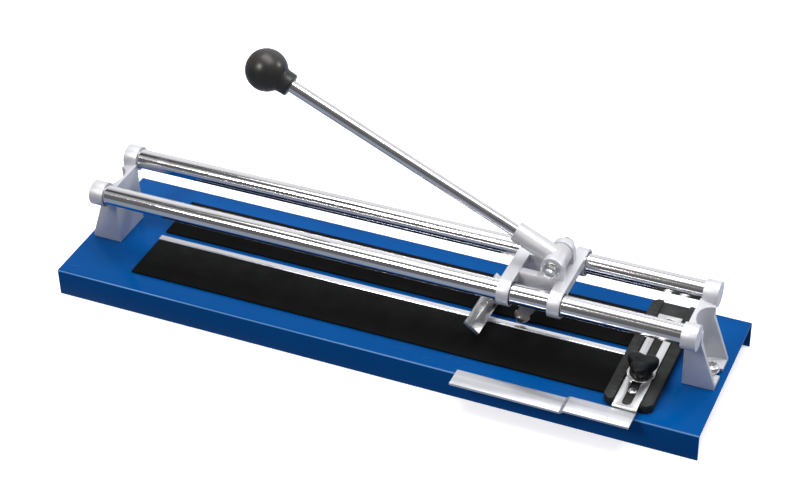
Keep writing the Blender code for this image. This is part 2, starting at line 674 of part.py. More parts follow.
def make_handle(lever):
    """The rod, and the ball knob with its collar pushed onto the rod's end."""
    rod_end = LEVER_LENGTH - BALL_COLLAR_REACH + BALL_BORE_DEPTH - SEAT_GAP
    rod = bar_along("lever_rod", along_lever(SOCKET_LENGTH - SOCKET_DEPTH), along_lever(rod_end), ROD_RADIUS)
    soften(part("lever_rod", rod, CHROME, lever), 0.5 * MM, 1)

    radius = BALL_DIAMETER / 2
    collar = BALL_COLLAR_DIAMETER / 2
    bore = ROD_RADIUS + HOLE_GAP
    meeting = -math.degrees(math.acos(collar / radius))
    profile = [(max(across, 0.0), up) for across, up in arc((0, 0), radius, 90, meeting, 22)]
    profile[0] = (0.0, radius)
    edge = 1.2 * MM
    profile += arc((collar - edge, -BALL_COLLAR_REACH + edge), edge, 0, -90, 4)
    profile += [(bore, -BALL_COLLAR_REACH), (bore, BALL_BORE_DEPTH - BALL_COLLAR_REACH)]
    profile += [(0.0, BALL_BORE_DEPTH - BALL_COLLAR_REACH)]
    tilt = LEVER_ANGLE - math.pi / 2
    part("ball_knob", turned("ball_knob", profile), BLACK_PLASTIC, lever,
         along_lever(LEVER_LENGTH), (0, tilt, 0))


def make_wheel(wheel):
    radius = WHEEL_RADIUS
    half = WHEEL_THICKNESS / 2
    edge = 0.12 * MM
    bore = AXLE_DIAMETER / 2 + RUN_GAP
    profile = [
        (bore, half), (radius - WHEEL_BEVEL, half), (radius, edge),
        (radius, -edge), (radius - WHEEL_BEVEL, -half), (bore, -half),
    ]
    mesh = turned("cutting_wheel", profile)
    mesh.transform(Matrix.Rotation(math.pi / 2, 4, "X"))
    part("cutting_wheel", mesh, CARBIDE, wheel)


def make_cross_pin(parent, name, spot, diameter, half_length, head, head_height):
    """A riveted pin along Y, with a flat head at each end."""
    profile = [
        (0, half_length + head_height), (head / 2, half_length + head_height), (head / 2, half_length),
        (diameter / 2, half_length), (diameter / 2, -half_length), (head / 2, -half_length),
        (head / 2, -half_length - head_height), (0, -half_length - head_height),
    ]
    return part(name, turned(name, profile, SMALL_ROUND), ZINC, parent, spot, (math.pi / 2, 0, 0))


def make_pins(lever):
    make_cross_pin(lever, "wheel_axle", (-WHEEL_BACK, 0, -WHEEL_DROP), AXLE_DIAMETER,
                   ARM_WIDTH / 2 + SEAT_GAP, 1.9 * AXLE_DIAMETER, 0.8 * MM)
    ear_outer = NOSE_WIDTH / 2 + SIDE_GAP + BREAKER_EAR
    make_cross_pin(lever, "breaker_pin", (-BREAKER_BACK, 0, -BREAKER_DROP), BREAKER_PIN_DIAMETER,
                   ear_outer + SEAT_GAP, 1.5 * BREAKER_PIN_DIAMETER, 1 * MM)


# ================================================================ breaker

def make_breaker(breaker):
    """A winged plate below its pin, with two ears on the pin and a rib out along each wing."""
    half = BREAKER_WIDTH / 2
    span = BREAKER_SPAN / 2
    top = BREAKER_TOP
    plate = block("breaker", (-half, -span, top - BREAKER_THICKNESS), (half, span, top))
    body = part("breaker", plate, GREY_STEEL, breaker)
    ear_inner = NOSE_WIDTH / 2 + SIDE_GAP
    for name, side in (("front", -1), ("rear", 1)):
        outline = link_outline((0, 0), BREAKER_EAR_RADIUS, (0, top), BREAKER_EAR_RADIUS)
        outline = [(across, max(up, top - BREAKER_THICKNESS / 2)) for across, up in outline]
        ear = slab(f"{name} ear", outline, BREAKER_EAR, "XZ", side * (ear_inner + BREAKER_EAR / 2))
        join(body, tool(f"{name} ear", ear, breaker))
        near = ear_inner + BREAKER_EAR / 2
        far = span - RIB_END_MARGIN
        rib = [(side * near, top - BREAKER_THICKNESS / 2), (side * far, top - BREAKER_THICKNESS / 2),
               (side * far, top + 0.3 * RIB_HEIGHT), (side * near, top + RIB_HEIGHT)]
        mesh = slab(f"{name} rib", rib, RIB_THICKNESS, "YZ")
        join(body, tool(f"{name} rib", mesh, breaker))
    start = (0, -2 * ear_inner - BREAKER_EAR, 0)
    end = (0, 2 * ear_inner + BREAKER_EAR, 0)
    bore = bar_along("ear bore", start, end, BREAKER_PIN_DIAMETER / 2 + RUN_GAP, SMALL_ROUND)
    cut(body, tool("ear bore", bore, breaker))
    return body


# ================================================================ fence and gauge

def make_fence(frame):
    """A block across the base with a channel along its top and cut-off corners."""
    half_x = FENCE_WIDTH / 2
    half_y = FENCE_LENGTH / 2
    near_x = half_x - FENCE_CHAMFER
    near_y = half_y - FENCE_CHAMFER
    outline = [(near_x, half_y), (-near_x, half_y), (-half_x, near_y), (-half_x, -near_y),
               (-near_x, -half_y), (near_x, -half_y), (half_x, -near_y), (half_x, near_y)]
    outline = [(FENCE_X + across, along) for across, along in outline]
    mesh = slab("fence", outline, FENCE_HEIGHT, "XY", (FENCE_BOTTOM + FENCE_TOP) / 2)
    fence = part("fence", mesh, BLACK_PLASTIC, frame)
    channel_half = STRIP_WIDTH / 2 + CHANNEL_SIDE
    channel = block("channel", (FENCE_X - channel_half, -FENCE_LENGTH, CHANNEL_FLOOR),
                    (FENCE_X + channel_half, FENCE_LENGTH, FENCE_TOP + FENCE_HEIGHT))
    cut(fence, tool("channel", channel, frame))
    for name, place, diameter in (
            ("fence guide hole", -GUIDE_SCREW_Y, GUIDE_SCREW_DIAMETER),
            ("fence stud hole", -KNOB_Y, STUD_DIAMETER)):
        start = (FENCE_X, place, FENCE_BOTTOM - FENCE_HEIGHT)
        end = (FENCE_X, place, FENCE_TOP + FENCE_HEIGHT)
        hole = bar_along(name, start, end, diameter / 2 + HOLE_GAP, SMALL_ROUND)
        cut(fence, tool(name, hole, frame))
    start = (FENCE_X, REAR_SCREW_Y, FENCE_BOTTOM - FENCE_HEIGHT)
    end = (FENCE_X, REAR_SCREW_Y, CHANNEL_FLOOR - SHEET)
    blind = bar_along("fence blind hole", start, end, GUIDE_SCREW_DIAMETER / 2 + HOLE_GAP, SMALL_ROUND)
    cut(fence, tool("fence blind hole", blind, frame))
    return fence


def make_gauge(gauge):
    """The slotted strip, and the stop arm under its front end. The gauge's origin is on the fence's line."""
    half = STRIP_WIDTH / 2
    middle = (STRIP_BOTTOM + STRIP_TOP) / 2
    outline = [(-half, -STRIP_FRONT), (half, -STRIP_FRONT), (half, STRIP_REAR), (-half, STRIP_REAR)]
    strip = part("gauge_strip", slab("gauge_strip", outline, STRIP_THICKNESS, "XY", middle), BRIGHT_STEEL, gauge)
    slot_radius = SLOT_WIDTH / 2
    front = (0, -STRIP_FRONT + SLOT_MARGIN + slot_radius)
    rear = (0, STRIP_REAR - SLOT_MARGIN - slot_radius)
    slot = link_outline(front, slot_radius, rear, slot_radius, 10)
    cut(strip, tool("strip slot", slab("strip slot", slot, 4 * STRIP_THICKNESS, "XY", middle), gauge))

    right = half
    step_right = right - ARM_PLATE_HIGH_LENGTH
    step_left = step_right - ARM_PLATE_RAMP
    left = step_left - ARM_PLATE_LOW_LENGTH
    high = ARM_TOP
    low = ARM_TOP - ARM_PLATE_STEP
    thick = ARM_PLATE_THICKNESS
    side_view = [(left, low), (step_left, low), (step_right, high), (right, high),
                 (right, high - thick), (step_right + 0.4 * MM, high - thick),
                 (step_left + 0.4 * MM, low - thick), (left, low - thick)]
    mesh = slab("stop_arm", side_view, ARM_PLATE_DEPTH, "XZ", -(ARM_REAR + ARM_PLATE_DEPTH / 2))
    arm = part("stop_arm", mesh, BRIGHT_STEEL, gauge)
    tab_low = (-half + 0.2 * MM, -(ARM_REAR + ARM_PLATE_DEPTH / 2), high - thick + 0.1 * MM)
    tab_high = (half - 0.2 * MM, -(ARM_REAR - TAB_LENGTH), high - 0.05 * MM)
    join(arm, tool("arm tab", block("arm tab", tab_low, tab_high), gauge))


def make_clamp(frame, knob_frame):
    """The stud from under the base, the washer on the strip, and the three-lobed knob."""
    head_height = 2.5 * MM
    head_z = UNDERSIDE - SEAT_GAP
    stud_top = KNOB_BOTTOM + 0.7 * KNOB_HEIGHT
    profile = [
        (0, stud_top - head_z), (STUD_DIAMETER / 2, stud_top - head_z), (STUD_DIAMETER / 2, 0),
        (STUD_DIAMETER, 0), (STUD_DIAMETER, -head_height), (0, -head_height),
    ]
    part("clamp_stud", turned("clamp_stud", profile, SMALL_ROUND), ZINC, frame, (FENCE_X, -KNOB_Y, head_z))
    make_washer(frame, "clamp_washer", (FENCE_X, -KNOB_Y, WASHER_BOTTOM), CLAMP_WASHER_DIAMETER,
                STUD_DIAMETER, WASHER_THICKNESS, ZINC)

    foot = KNOB_FOOT_DIAMETER / 2
    levels = [
        (0.00, foot, 0.0), (0.14, foot, 0.0), (0.30, 0.9 * KNOB_MEAN_RADIUS, 0.6), (0.86, KNOB_MEAN_RADIUS, 1.0),
        (0.96, 0.96 * KNOB_MEAN_RADIUS, 1.0), (1.00, 0.86 * KNOB_MEAN_RADIUS, 1.0),
    ]
    bm = bmesh.new()
    bmesh.ops.create_circle(bm, cap_ends=True, segments=60, radius=1.0)
    shape_knob_level(bm.verts, *levels[0])
    lid = list(bm.faces)
    for step, level in enumerate(levels[1:]):
        grown = bmesh.ops.extrude_face_region(bm, geom=lid)["geom"]
        if step > 0:
            bmesh.ops.delete(bm, geom=lid, context="FACES_ONLY")
        lid = [item for item in grown if isinstance(item, bmesh.types.BMFace)]
        shape_knob_level(lid[0].verts, *level)
    knob = part("clamp_knob", finish_mesh(bm, "clamp_knob"), BLACK_PLASTIC, knob_frame)
    bore = bar_along("knob bore", (0, 0, -SHEET), (0, 0, 0.7 * KNOB_HEIGHT + SEAT_GAP),
                     STUD_DIAMETER / 2 + RUN_GAP, SMALL_ROUND)
    cut(knob, tool("knob bore", bore, knob_frame))


def shape_knob_level(verts, height, radius, lobed):
    """Set one level of the knob: a circle, or lobes where lobed is 1, with one of them at the front."""
    for vert in verts:
        angle = math.atan2(vert.co.y, vert.co.x)
        reach = radius + lobed * KNOB_LOBE * math.cos(KNOB_LOBES * (angle + math.pi / 2))
        vert.co = (reach * math.cos(angle), reach * math.sin(angle), height * KNOB_HEIGHT)


def make_fence_screws(frame):
    make_screw(frame, "guide_screw", (FENCE_X, -GUIDE_SCREW_Y, CHANNEL_FLOOR + SEAT_GAP), GUIDE_SCREW_DIAMETER,
               CHANNEL_FLOOR - UNDERSIDE + 5 * MM, GUIDE_HEAD_DIAMETER, GUIDE_HEAD_HEIGHT, ZINC)
    nut_height = 3.2 * MM
    make_nut(frame, "guide_nut", (FENCE_X, -GUIDE_SCREW_Y, UNDERSIDE - SEAT_GAP - nut_height),
             GUIDE_SCREW_DIAMETER, 7 * MM, nut_height, ZINC)
    length = CHANNEL_FLOOR - SHEET - UNDERSIDE - SEAT_GAP
    make_screw(frame, "fence_rear_screw", (FENCE_X, REAR_SCREW_Y, UNDERSIDE - SEAT_GAP), GUIDE_SCREW_DIAMETER,
               length, 7.5 * MM, 2.4 * MM, ZINC, (math.pi, 0, 0))


# ================================================================ the whole cutter

def make_tile_cutter():
    frame = new_empty("cutter_frame", (0, BASE_SHIFT, 0))
    make_base(frame)
    make_pads(frame)
    make_snapping_bar(frame)
    for name, side in (("left", -1), ("right", 1)):
        make_bracket(frame, f"{name}_bracket", side)
        make_bracket_fasteners(frame, name, side)
    make_rails(frame)
    make_fence(frame)
    make_fence_screws(frame)

    carriage = new_empty("carriage_frame", (CARRIAGE_X, 0, RAIL_HEIGHT), frame)
    make_carriage(carriage)
    make_bushes(carriage)
    make_pivot_fasteners(carriage)

    lever = new_empty("lever_frame", (PIVOT_X, 0, PIVOT_RISE), carriage)
    make_lever_hub(lever)
    make_handle(lever)
    make_pins(lever)
    make_wheel(new_empty("wheel_frame", (-WHEEL_BACK, 0, -WHEEL_DROP), lever))
    breaker = new_empty("breaker_frame", (-BREAKER_BACK, 0, -BREAKER_DROP), lever, (0, BREAKER_ANGLE, 0))
    make_breaker(breaker)

    make_gauge(new_empty("gauge_frame", (FENCE_X, 0, 0), frame))
    make_clamp(frame, new_empty("knob_frame", (FENCE_X, -KNOB_Y, KNOB_BOTTOM), frame))


clear_scene()
PARTS = new_collection("tile_cutter")
CUTTERS = new_collection("cutters")
BLUE_PAINT = new_material("blue paint", (0.005, 0.09, 0.38), 0.22)
BLACK_RUBBER = new_material("black rubber", (0.012, 0.013, 0.013), 0.6)
BRIGHT_STEEL = new_material("bright steel", (0.72, 0.73, 0.75), 0.28, 1.0)
CHROME = new_material("chrome", (0.8, 0.8, 0.81), 0.07, 1.0)
CAST_ALUMINIUM = new_material("cast aluminium", (0.72, 0.73, 0.74), 0.4, 1.0)
BLACK_NYLON = new_material("black nylon", (0.02, 0.02, 0.02), 0.5)
ZINC = new_material("zinc plate", (0.66, 0.66, 0.64), 0.3, 1.0)
CARBIDE = new_material("carbide", (0.36, 0.33, 0.29), 0.3, 1.0)
GREY_STEEL = new_material("grey steel", (0.42, 0.43, 0.42), 0.38, 1.0)
BLACK_PLASTIC = new_material("black plastic", (0.02, 0.02, 0.021), 0.4)
make_tile_cutter()
bpy.context.view_layer.update()
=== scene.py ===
"""The tile cutter's finishes and its turned, moulded and rounded pieces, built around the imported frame.

Lengths are in metres, in the frame's own axes: +X along the rails to the fence, +Y to the back, +Z up.
"""

import math

import bmesh
import bpy
from mathutils import Matrix, Vector


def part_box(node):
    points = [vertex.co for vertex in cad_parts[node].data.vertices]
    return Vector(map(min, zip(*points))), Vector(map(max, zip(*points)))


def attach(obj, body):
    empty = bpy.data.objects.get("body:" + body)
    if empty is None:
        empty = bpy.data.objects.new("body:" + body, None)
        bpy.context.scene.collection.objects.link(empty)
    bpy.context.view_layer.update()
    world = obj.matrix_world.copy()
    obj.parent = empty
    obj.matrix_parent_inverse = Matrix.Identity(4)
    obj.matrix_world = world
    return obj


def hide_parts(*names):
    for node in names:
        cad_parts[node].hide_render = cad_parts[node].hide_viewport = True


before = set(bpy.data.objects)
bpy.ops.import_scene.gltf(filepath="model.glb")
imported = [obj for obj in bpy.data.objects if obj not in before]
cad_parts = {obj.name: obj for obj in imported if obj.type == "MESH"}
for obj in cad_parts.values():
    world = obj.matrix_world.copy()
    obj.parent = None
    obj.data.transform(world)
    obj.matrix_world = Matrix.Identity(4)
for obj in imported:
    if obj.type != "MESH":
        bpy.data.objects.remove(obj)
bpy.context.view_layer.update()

MM = 0.001
FINE_ROUND = 96             # steps round a rail, a washer or the ball
SMALL_ROUND = 48            # steps round a screw or a hole
WELD = 0.0005 * MM          # points nearer than this are one point
CAD_WELD = 0.002 * MM       # the same, in a CAD node's loose triangles

SHEET = 1.5 * MM
M6_SHANK = 3.0 * MM         # radius, as are the next three
M6_HOLE = 3.3 * MM
M4_SHANK = 2.0 * MM
M4_HOLE = 2.3 * MM
M6_PITCH = 1.0 * MM

CROSSWISE = 1               # numbers of the axes that fasteners stand along
UPRIGHT = 2


# ================================================================ finishes

def ranged(tree, value, from_low, from_high, to_low, to_high):
    """A value carried from one range to another and held inside the second."""
    node = tree.nodes.new("ShaderNodeMapRange")
    node.inputs["From Min"].default_value = from_low
    node.inputs["From Max"].default_value = from_high
    node.inputs["To Min"].default_value = to_low
    node.inputs["To Max"].default_value = to_high
    tree.links.new(value, node.inputs["Value"])
    return node.outputs["Result"]


def worked(tree, operation, *values, clamp=False):
    """One step of arithmetic. Each value may be a number or a socket."""
    node = tree.nodes.new("ShaderNodeMath")
    node.operation = operation
    node.use_clamp = clamp
    for value, socket in zip(values, node.inputs):
        if isinstance(value, float):
            socket.default_value = value
        else:
            tree.links.new(value, socket)
    return node.outputs["Value"]


class Finish:
    """A material and the pattern steps that its colour, roughness and relief are made from."""

    def __init__(self, name, metallic=0.0, specular=0.5):
        self.material = bpy.data.materials.new(name)
        self.material.use_nodes = True
        self.tree = self.material.node_tree
        self.shader = self.tree.nodes["Principled BSDF"]
        self.shader.inputs["Metallic"].default_value = metallic
        self.shader.inputs["Specular IOR Level"].default_value = specular
        self.place = self.tree.nodes.new("ShaderNodeTexCoord").outputs["Object"]
        self.relief = None

    def link(self, source, target):
        self.tree.links.new(source, target)

    def coordinates(self, stretch=(1, 1, 1), turn=0.0):
        """Object coordinates, turned about Y and then stretched."""
        place = self.place
        if turn:
            turned = self.tree.nodes.new("ShaderNodeMapping")
            turned.inputs["Rotation"].default_value = (0, turn, 0)
            self.link(place, turned.inputs["Vector"])
            place = turned.outputs["Vector"]
        scaled = self.tree.nodes.new("ShaderNodeMapping")
        scaled.inputs["Scale"].default_value = stretch
        self.link(place, scaled.inputs["Vector"])
        return scaled.outputs["Vector"]

    def noise(self, scale, stretch=(1, 1, 1), turn=0.0, detail=4.0, distortion=0.0):
        node = self.tree.nodes.new("ShaderNodeTexNoise")
        node.inputs["Scale"].default_value = scale
        node.inputs["Detail"].default_value = detail
        node.inputs["Distortion"].default_value = distortion
        self.link(self.coordinates(stretch, turn), node.inputs["Vector"])
        return node.outputs["Fac"]

    def cells(self, scale, stretch=(1, 1, 1)):
        """Distance to the nearest border between cells, for scratches and grain."""
        node = self.tree.nodes.new("ShaderNodeTexVoronoi")
        node.feature = "DISTANCE_TO_EDGE"
        node.inputs["Scale"].default_value = scale
        self.link(self.coordinates(stretch), node.inputs["Vector"])
        return node.outputs["Distance"]

    def spread(self, value, *bounds):
        """A value carried from one range to another, as two pairs of bounds."""
        return ranged(self.tree, value, *bounds)

    def added(self, first, second):
        return worked(self.tree, "ADD", first, second, clamp=True)

    def multiplied(self, first, second):
        return worked(self.tree, "MULTIPLY", first, second, clamp=True)

    def apart(self, value, mark):
        """How far a value is from a mark, either way."""
        return worked(self.tree, "ABSOLUTE", worked(self.tree, "SUBTRACT", value, mark))

    def shade(self, factor, first, second):
        """A colour between two others. Either may be a colour or a socket."""
        node = self.tree.nodes.new("ShaderNodeMix")
        node.data_type = "RGBA"
        self.link(factor, node.inputs["Factor"])
        for key, colour in (("A", first), ("B", second)):
            socket = next(item for item in node.inputs if item.name == key and item.type == "RGBA")
            if isinstance(colour, tuple):
                socket.default_value = (*colour, 1.0)
            else:
                self.link(colour, socket)
        return next(item for item in node.outputs if item.type == "RGBA")

    def colour(self, value):
        self.link(value, self.shader.inputs["Base Color"])

    def roughness(self, value):
        self.link(value, self.shader.inputs["Roughness"])

    def bump(self, height, strength, depth):
        """Adds one layer of relief, with the depth in metres."""
        node = self.tree.nodes.new("ShaderNodeBump")
        node.inputs["Strength"].default_value = strength
        node.inputs["Distance"].default_value = depth
        self.link(height, node.inputs["Height"])
        if self.relief is not None:
            self.link(self.relief, node.inputs["Normal"])
        self.relief = node.outputs["Normal"]
        self.link(self.relief, self.shader.inputs["Normal"])


def scratched(finish, scale, stretch, share):
    """Thin separate scratches: cell borders, kept only where a broad noise is high."""
    line = finish.spread(finish.cells(scale, stretch), 0.0, 0.012, 1.0, 0.0)
    patch = finish.spread(finish.noise(scale * 0.6, detail=1.0), 1.0 - share, 1.05 - share, 0.0, 1.0)
    return finish.multiplied(line, patch)


def enamel():
    """Glossy blue paint: faint orange peel, handling haze, hairline scratches and a painted highlight
    along the bends, broken up by noise.
    """
    deep, light = (0.0003, 0.062, 0.243), (0.0008, 0.073, 0.280)
    # the scratch colour, then the painted highlight colour for the bends
    scuffed, bend_highlight = (0.10, 0.22, 0.45), (0.24, 0.46, 0.80)
    made = Finish("blue enamel", specular=0.045)
    haze = made.noise(7, detail=5.0, distortion=0.6)
    body = made.shade(made.spread(haze, 0.35, 0.7, 0, 1), deep, light)
    hair = scratched(made, 26, (1.0, 7.0, 3.0), 0.42)
    body = made.shade(made.spread(hair, 0, 1, 0, 0.12), body, scuffed)
    low, high = corners("base")
    split = made.tree.nodes.new("ShaderNodeSeparateXYZ")
    made.link(made.place, split.inputs["Vector"])
    out = made.apart(split.outputs["Y"], (low.y + high.y) / 2)
    # Painted highlight: a thin paler band just inside each bend, where the paint would catch the light,
    # broken up by a noise.
    highlight_line = (high.y - low.y) / 2 - 0.5 * MM
    bend = made.spread(made.apart(out, highlight_line), 0.1 * MM, 0.42 * MM, 1.0, 0.0)
    worn = made.spread(made.noise(30, (0.25, 1, 1), detail=4.0), 0.25, 0.6, 0.45, 1.0)
    lightening = made.multiplied(bend, worn)
    made.colour(made.shade(made.spread(lightening, 0, 1, 0, 0.8), body, bend_highlight))
    smear = made.spread(made.noise(16, (1, 2.2, 1), detail=6.0, distortion=1.4), 0.4, 0.68, 0.10, 0.22)
    made.roughness(made.added(smear, made.spread(hair, 0, 1, 0, 0.2)))
    made.bump(made.noise(260, detail=2.0), 0.08, 0.00012)
    made.bump(hair, 0.15, -0.00003)
    return made.material


def rubber():
    """Black sheet rubber with a fine pressed grain and a trace of tile dust."""
    dark, light, dusty = (0.0030, 0.0034, 0.0032), (0.0048, 0.0052, 0.0049), (0.016, 0.016, 0.015)
    made = Finish("black rubber", specular=0.05)
    dust = made.spread(made.noise(42, (1, 1.8, 1), detail=8.0, distortion=0.8), 0.55, 0.85, 0, 0.22)
    made.colour(made.shade(dust, made.shade(made.noise(9, detail=3.0), dark, light), dusty))
    made.roughness(made.spread(made.noise(60, detail=6.0), 0.3, 0.7, 0.5, 0.72))
    made.bump(made.noise(2400, detail=2.0), 0.35, 0.00008)
    made.bump(made.noise(130, detail=3.0), 0.12, 0.0002)
    return made.material


def ground_chrome(name, turn=0.0):
    """Ground and plated round bar: hairlines along its length over a clear mirror."""
    low, high, spotted = (0.80, 0.785, 0.79), (0.90, 0.895, 0.90), (0.62, 0.60, 0.60)
    made = Finish(name, metallic=1.0)
    lines = made.noise(1.0, (5, 900, 900), turn, detail=3.0)
    broad = made.noise(1.0, (9, 130, 130), turn, detail=4.0)
    spots = made.spread(made.noise(90, (0.5, 1, 1), turn, detail=5.0), 0.58, 0.75, 0, 1)
    bright = made.shade(made.spread(broad, 0.35, 0.65, 0, 1), low, high)
    made.colour(made.shade(made.spread(spots, 0, 1, 0, 0.3), bright, spotted))
    gloss = made.spread(lines, 0.3, 0.72, 0.035, 0.15)
    made.roughness(made.added(gloss, made.spread(spots, 0, 1, 0, 0.09)))
    made.bump(broad, 0.30, 0.00006)
    made.bump(lines, 0.16, 0.00001)
    return made.material


def cast_metal(name, low, high):
    """Tumbled cast aluminium: a satin skin with fine pits and soft unevenness."""
    pitted = (0.34, 0.35, 0.39)
    made = Finish(name, metallic=0.5)
    cloud = made.noise(48, detail=6.0, distortion=0.4)
    pits = made.spread(made.cells(900), 0.0, 0.22, 1.0, 0.0)
    body = made.shade(made.spread(cloud, 0.35, 0.68, 0, 1), low, high)
    made.colour(made.shade(made.spread(pits, 0.6, 1.0, 0, 0.22), body, pitted))
    made.roughness(made.spread(made.noise(210, detail=5.0), 0.3, 0.7, 0.38, 0.54))
    made.bump(made.noise(1500, detail=3.0), 0.30, 0.00006)
    made.bump(made.noise(170, detail=3.0), 0.16, 0.00025)
    return made.material


def brushed(name, stretch, low, high, gloss, hairs=0.5):
    """Drawn or brushed steel, with its grain along one direction and a few cross scratches."""
    polished = (0.93, 0.93, 0.94)
    made = Finish(name, metallic=1.0)
    grain = made.noise(1.0, stretch, detail=5.0)
    cloud = made.noise(30, detail=4.0)
    hair = scratched(made, 60, (1.0, 2.6, 1.0), hairs)
    body = made.shade(made.spread(grain, 0.3, 0.7, 0, 1), low, high)
    made.colour(made.shade(made.spread(hair, 0, 1, 0, 0.6 * hairs), body, polished))
    rough = made.spread(made.added(grain, made.spread(cloud, 0.3, 0.7, -0.2, 0.2)), 0.2, 0.8, *gloss)
    made.roughness(rough)
    made.bump(grain, 0.20, 0.00002)
    made.bump(hair, 0.4 * hairs, -0.00002)
    return made.material


def zinc_plate():
    """Bright zinc plate with a faint warm cast and dulled patches."""
    made = Finish("zinc plate", metallic=1.0)
    cloud = made.noise(240, detail=5.0, distortion=0.5)
    dulled, bright = (0.66, 0.66, 0.65), (0.80, 0.79, 0.765)
    made.colour(made.shade(made.spread(cloud, 0.35, 0.7, 0, 1), dulled, bright))
    made.roughness(made.spread(made.noise(520, detail=4.0), 0.3, 0.7, 0.2, 0.42))
    made.bump(made.noise(1900, detail=3.0), 0.2, 0.00004)
    return made.material


def moulded(name, low, high, gloss, grain=1600, specular=0.5):
    """Moulded black plastic with a fine tool texture and lighter rubbed places."""
    made = Finish(name, specular=specular)
    lightening = made.spread(made.noise(70, detail=6.0, distortion=0.5), 0.4, 0.72, 0, 1)
    made.colour(made.shade(lightening, low, high))
    made.roughness(made.spread(made.noise(180, detail=5.0), 0.3, 0.7, *gloss))
    made.bump(made.noise(grain, detail=2.0), 0.22, 0.00005)
    made.bump(made.noise(90, detail=2.0), 0.08, 0.0002)
    return made.material


def carbide():
    """Ground carbide, warm grey with a fine grain."""
    made = Finish("ground carbide", metallic=1.0)
    cloud = made.noise(420, detail=4.0)
    made.colour(made.shade(made.spread(cloud, 0.3, 0.7, 0, 1), (0.42, 0.31, 0.22), (0.60, 0.47, 0.36)))
    made.roughness(made.spread(made.noise(900, detail=3.0), 0.3, 0.7, 0.22, 0.4))
    made.bump(made.noise(2600, detail=2.0), 0.2, 0.00003)
    return made.material


# ================================================================ shapes

def corners(node):
    low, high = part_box(node)
    return Vector(low), Vector(high)


def centre_of(node):
    low, high = corners(node)
    return (low + high) / 2


def piece(name, bm, material, body, slot, *nodes, crease=32):
    """Finishes a mesh, rides it on its body and lets it stand for CAD nodes."""
    bmesh.ops.remove_doubles(bm, verts=bm.verts, dist=WELD)
    bmesh.ops.recalc_face_normals(bm, faces=bm.faces)
    mesh = bpy.data.meshes.new(name)
    bm.to_mesh(mesh)
    bm.free()
    mesh.materials.append(material)
    mesh.shade_smooth()
    mesh.set_sharp_from_angle(angle=math.radians(crease))
    made = bpy.data.objects.new(name, mesh)
    bpy.context.scene.collection.objects.link(made)
    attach(made, body)
    if nodes:
        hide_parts(*nodes)


def rounded(name, node, width, material, body, slot, segments=2, angle=28):
    """A CAD node with its sharp edges eased."""
    bm = bmesh.new()
    bm.from_mesh(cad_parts[node].data)
    bmesh.ops.remove_doubles(bm, verts=bm.verts, dist=CAD_WELD)
    bmesh.ops.dissolve_limit(bm, angle_limit=math.radians(1.2), verts=bm.verts, edges=bm.edges)
    edges = [edge for edge in bm.edges
             if len(edge.link_faces) == 2 and edge.calc_face_angle() > math.radians(angle)]
    bmesh.ops.bevel(
        bm, geom=edges, offset=width, offset_type="OFFSET", segments=segments, profile=0.5,
        affect="EDGES", clamp_overlap=True, material=-1)
    piece(name, bm, material, body, slot, node, crease=50)


def turned(profile, steps=FINE_ROUND):
    """A shape turned about Z from radius and height pairs, closed on the axis or as a ring."""
    bm = bmesh.new()
    ring = [bm.verts.new((radius, 0, height)) for radius, height in profile]
    edges = [bm.edges.new(pair) for pair in zip(ring, ring[1:])]
    if profile[0][0] > 0:
        edges.append(bm.edges.new((ring[-1], ring[0])))
    bmesh.ops.spin(
        bm, geom=ring + edges, cent=(0, 0, 0), axis=(0, 0, 1), angle=math.radians(360),
        steps=steps, use_merge=True)
    bmesh.ops.remove_doubles(bm, verts=bm.verts, dist=WELD)
    bmesh.ops.recalc_face_normals(bm, faces=bm.faces)
    return bm


def stood(bm, place, direction=(0, 0, 1)):
    """Turns a shape's Z to a direction and moves its origin to a place."""
    turn = Vector((0, 0, 1)).rotation_difference(Vector(direction).normalized()).to_matrix().to_4x4()
    bmesh.ops.transform(bm, matrix=Matrix.Translation(place) @ turn, verts=bm.verts)
    return bm


def eased(radius, height, ease, turn_from, turn_to, steps=4):
    """Profile points round a corner's centre, angles in degrees."""
    points = []
    for step in range(steps + 1):
        angle = math.radians(turn_from + (turn_to - turn_from) * step / steps)
        points.append((radius + ease * math.cos(angle), height + ease * math.sin(angle)))
    return points


def combined(first, second, operation):
    """One shape joined to, cut by or kept inside another."""
    holders = []
    for shape in (first, second):
        mesh = bpy.data.meshes.new("shape")
        shape.to_mesh(mesh)
        shape.free()
        holder = bpy.data.objects.new("shape", mesh)
        bpy.context.scene.collection.objects.link(holder)
        holders.append(holder)
    step = holders[0].modifiers.new("shape", "BOOLEAN")
    step.operation = operation
    step.solver = "EXACT"
    step.object = holders[1]
    bpy.context.view_layer.update()
    seen = holders[0].evaluated_get(bpy.context.evaluated_depsgraph_get())
    bm = bmesh.new()
    bm.from_mesh(seen.to_mesh())
    seen.to_mesh_clear()
    for holder in holders:
        mesh = holder.data
        bpy.data.objects.remove(holder)
        bpy.data.meshes.remove(mesh)
    return bm


def prism(sides, radius, low, high):
    """An upright many-sided bar."""
    bm = bmesh.new()
    bmesh.ops.create_cone(
        bm, cap_ends=True, segments=sides, radius1=radius, radius2=radius, depth=high - low)
    bmesh.ops.translate(bm, vec=(0, 0, (low + high) / 2), verts=bm.verts)
    return bm


def hexagon(across_flats, low, high, chamfer_low=True):
    """A hexagon head or nut with its corners turned off."""
    radius = across_flats / math.sqrt(3)
    cut = radius - 0.96 * across_flats / 2
    drop = 0.55 * cut
    outside = radius + 0.01 * MM
    lens = [(0, low)]
    lens += [(radius - cut, low), (outside, low + drop)] if chamfer_low else [(2 * radius, low)]
    lens += [(outside, high - drop), (radius - cut, high), (0, high)]
    return combined(prism(6, radius, low, high), turned(lens, SMALL_ROUND), "INTERSECT")


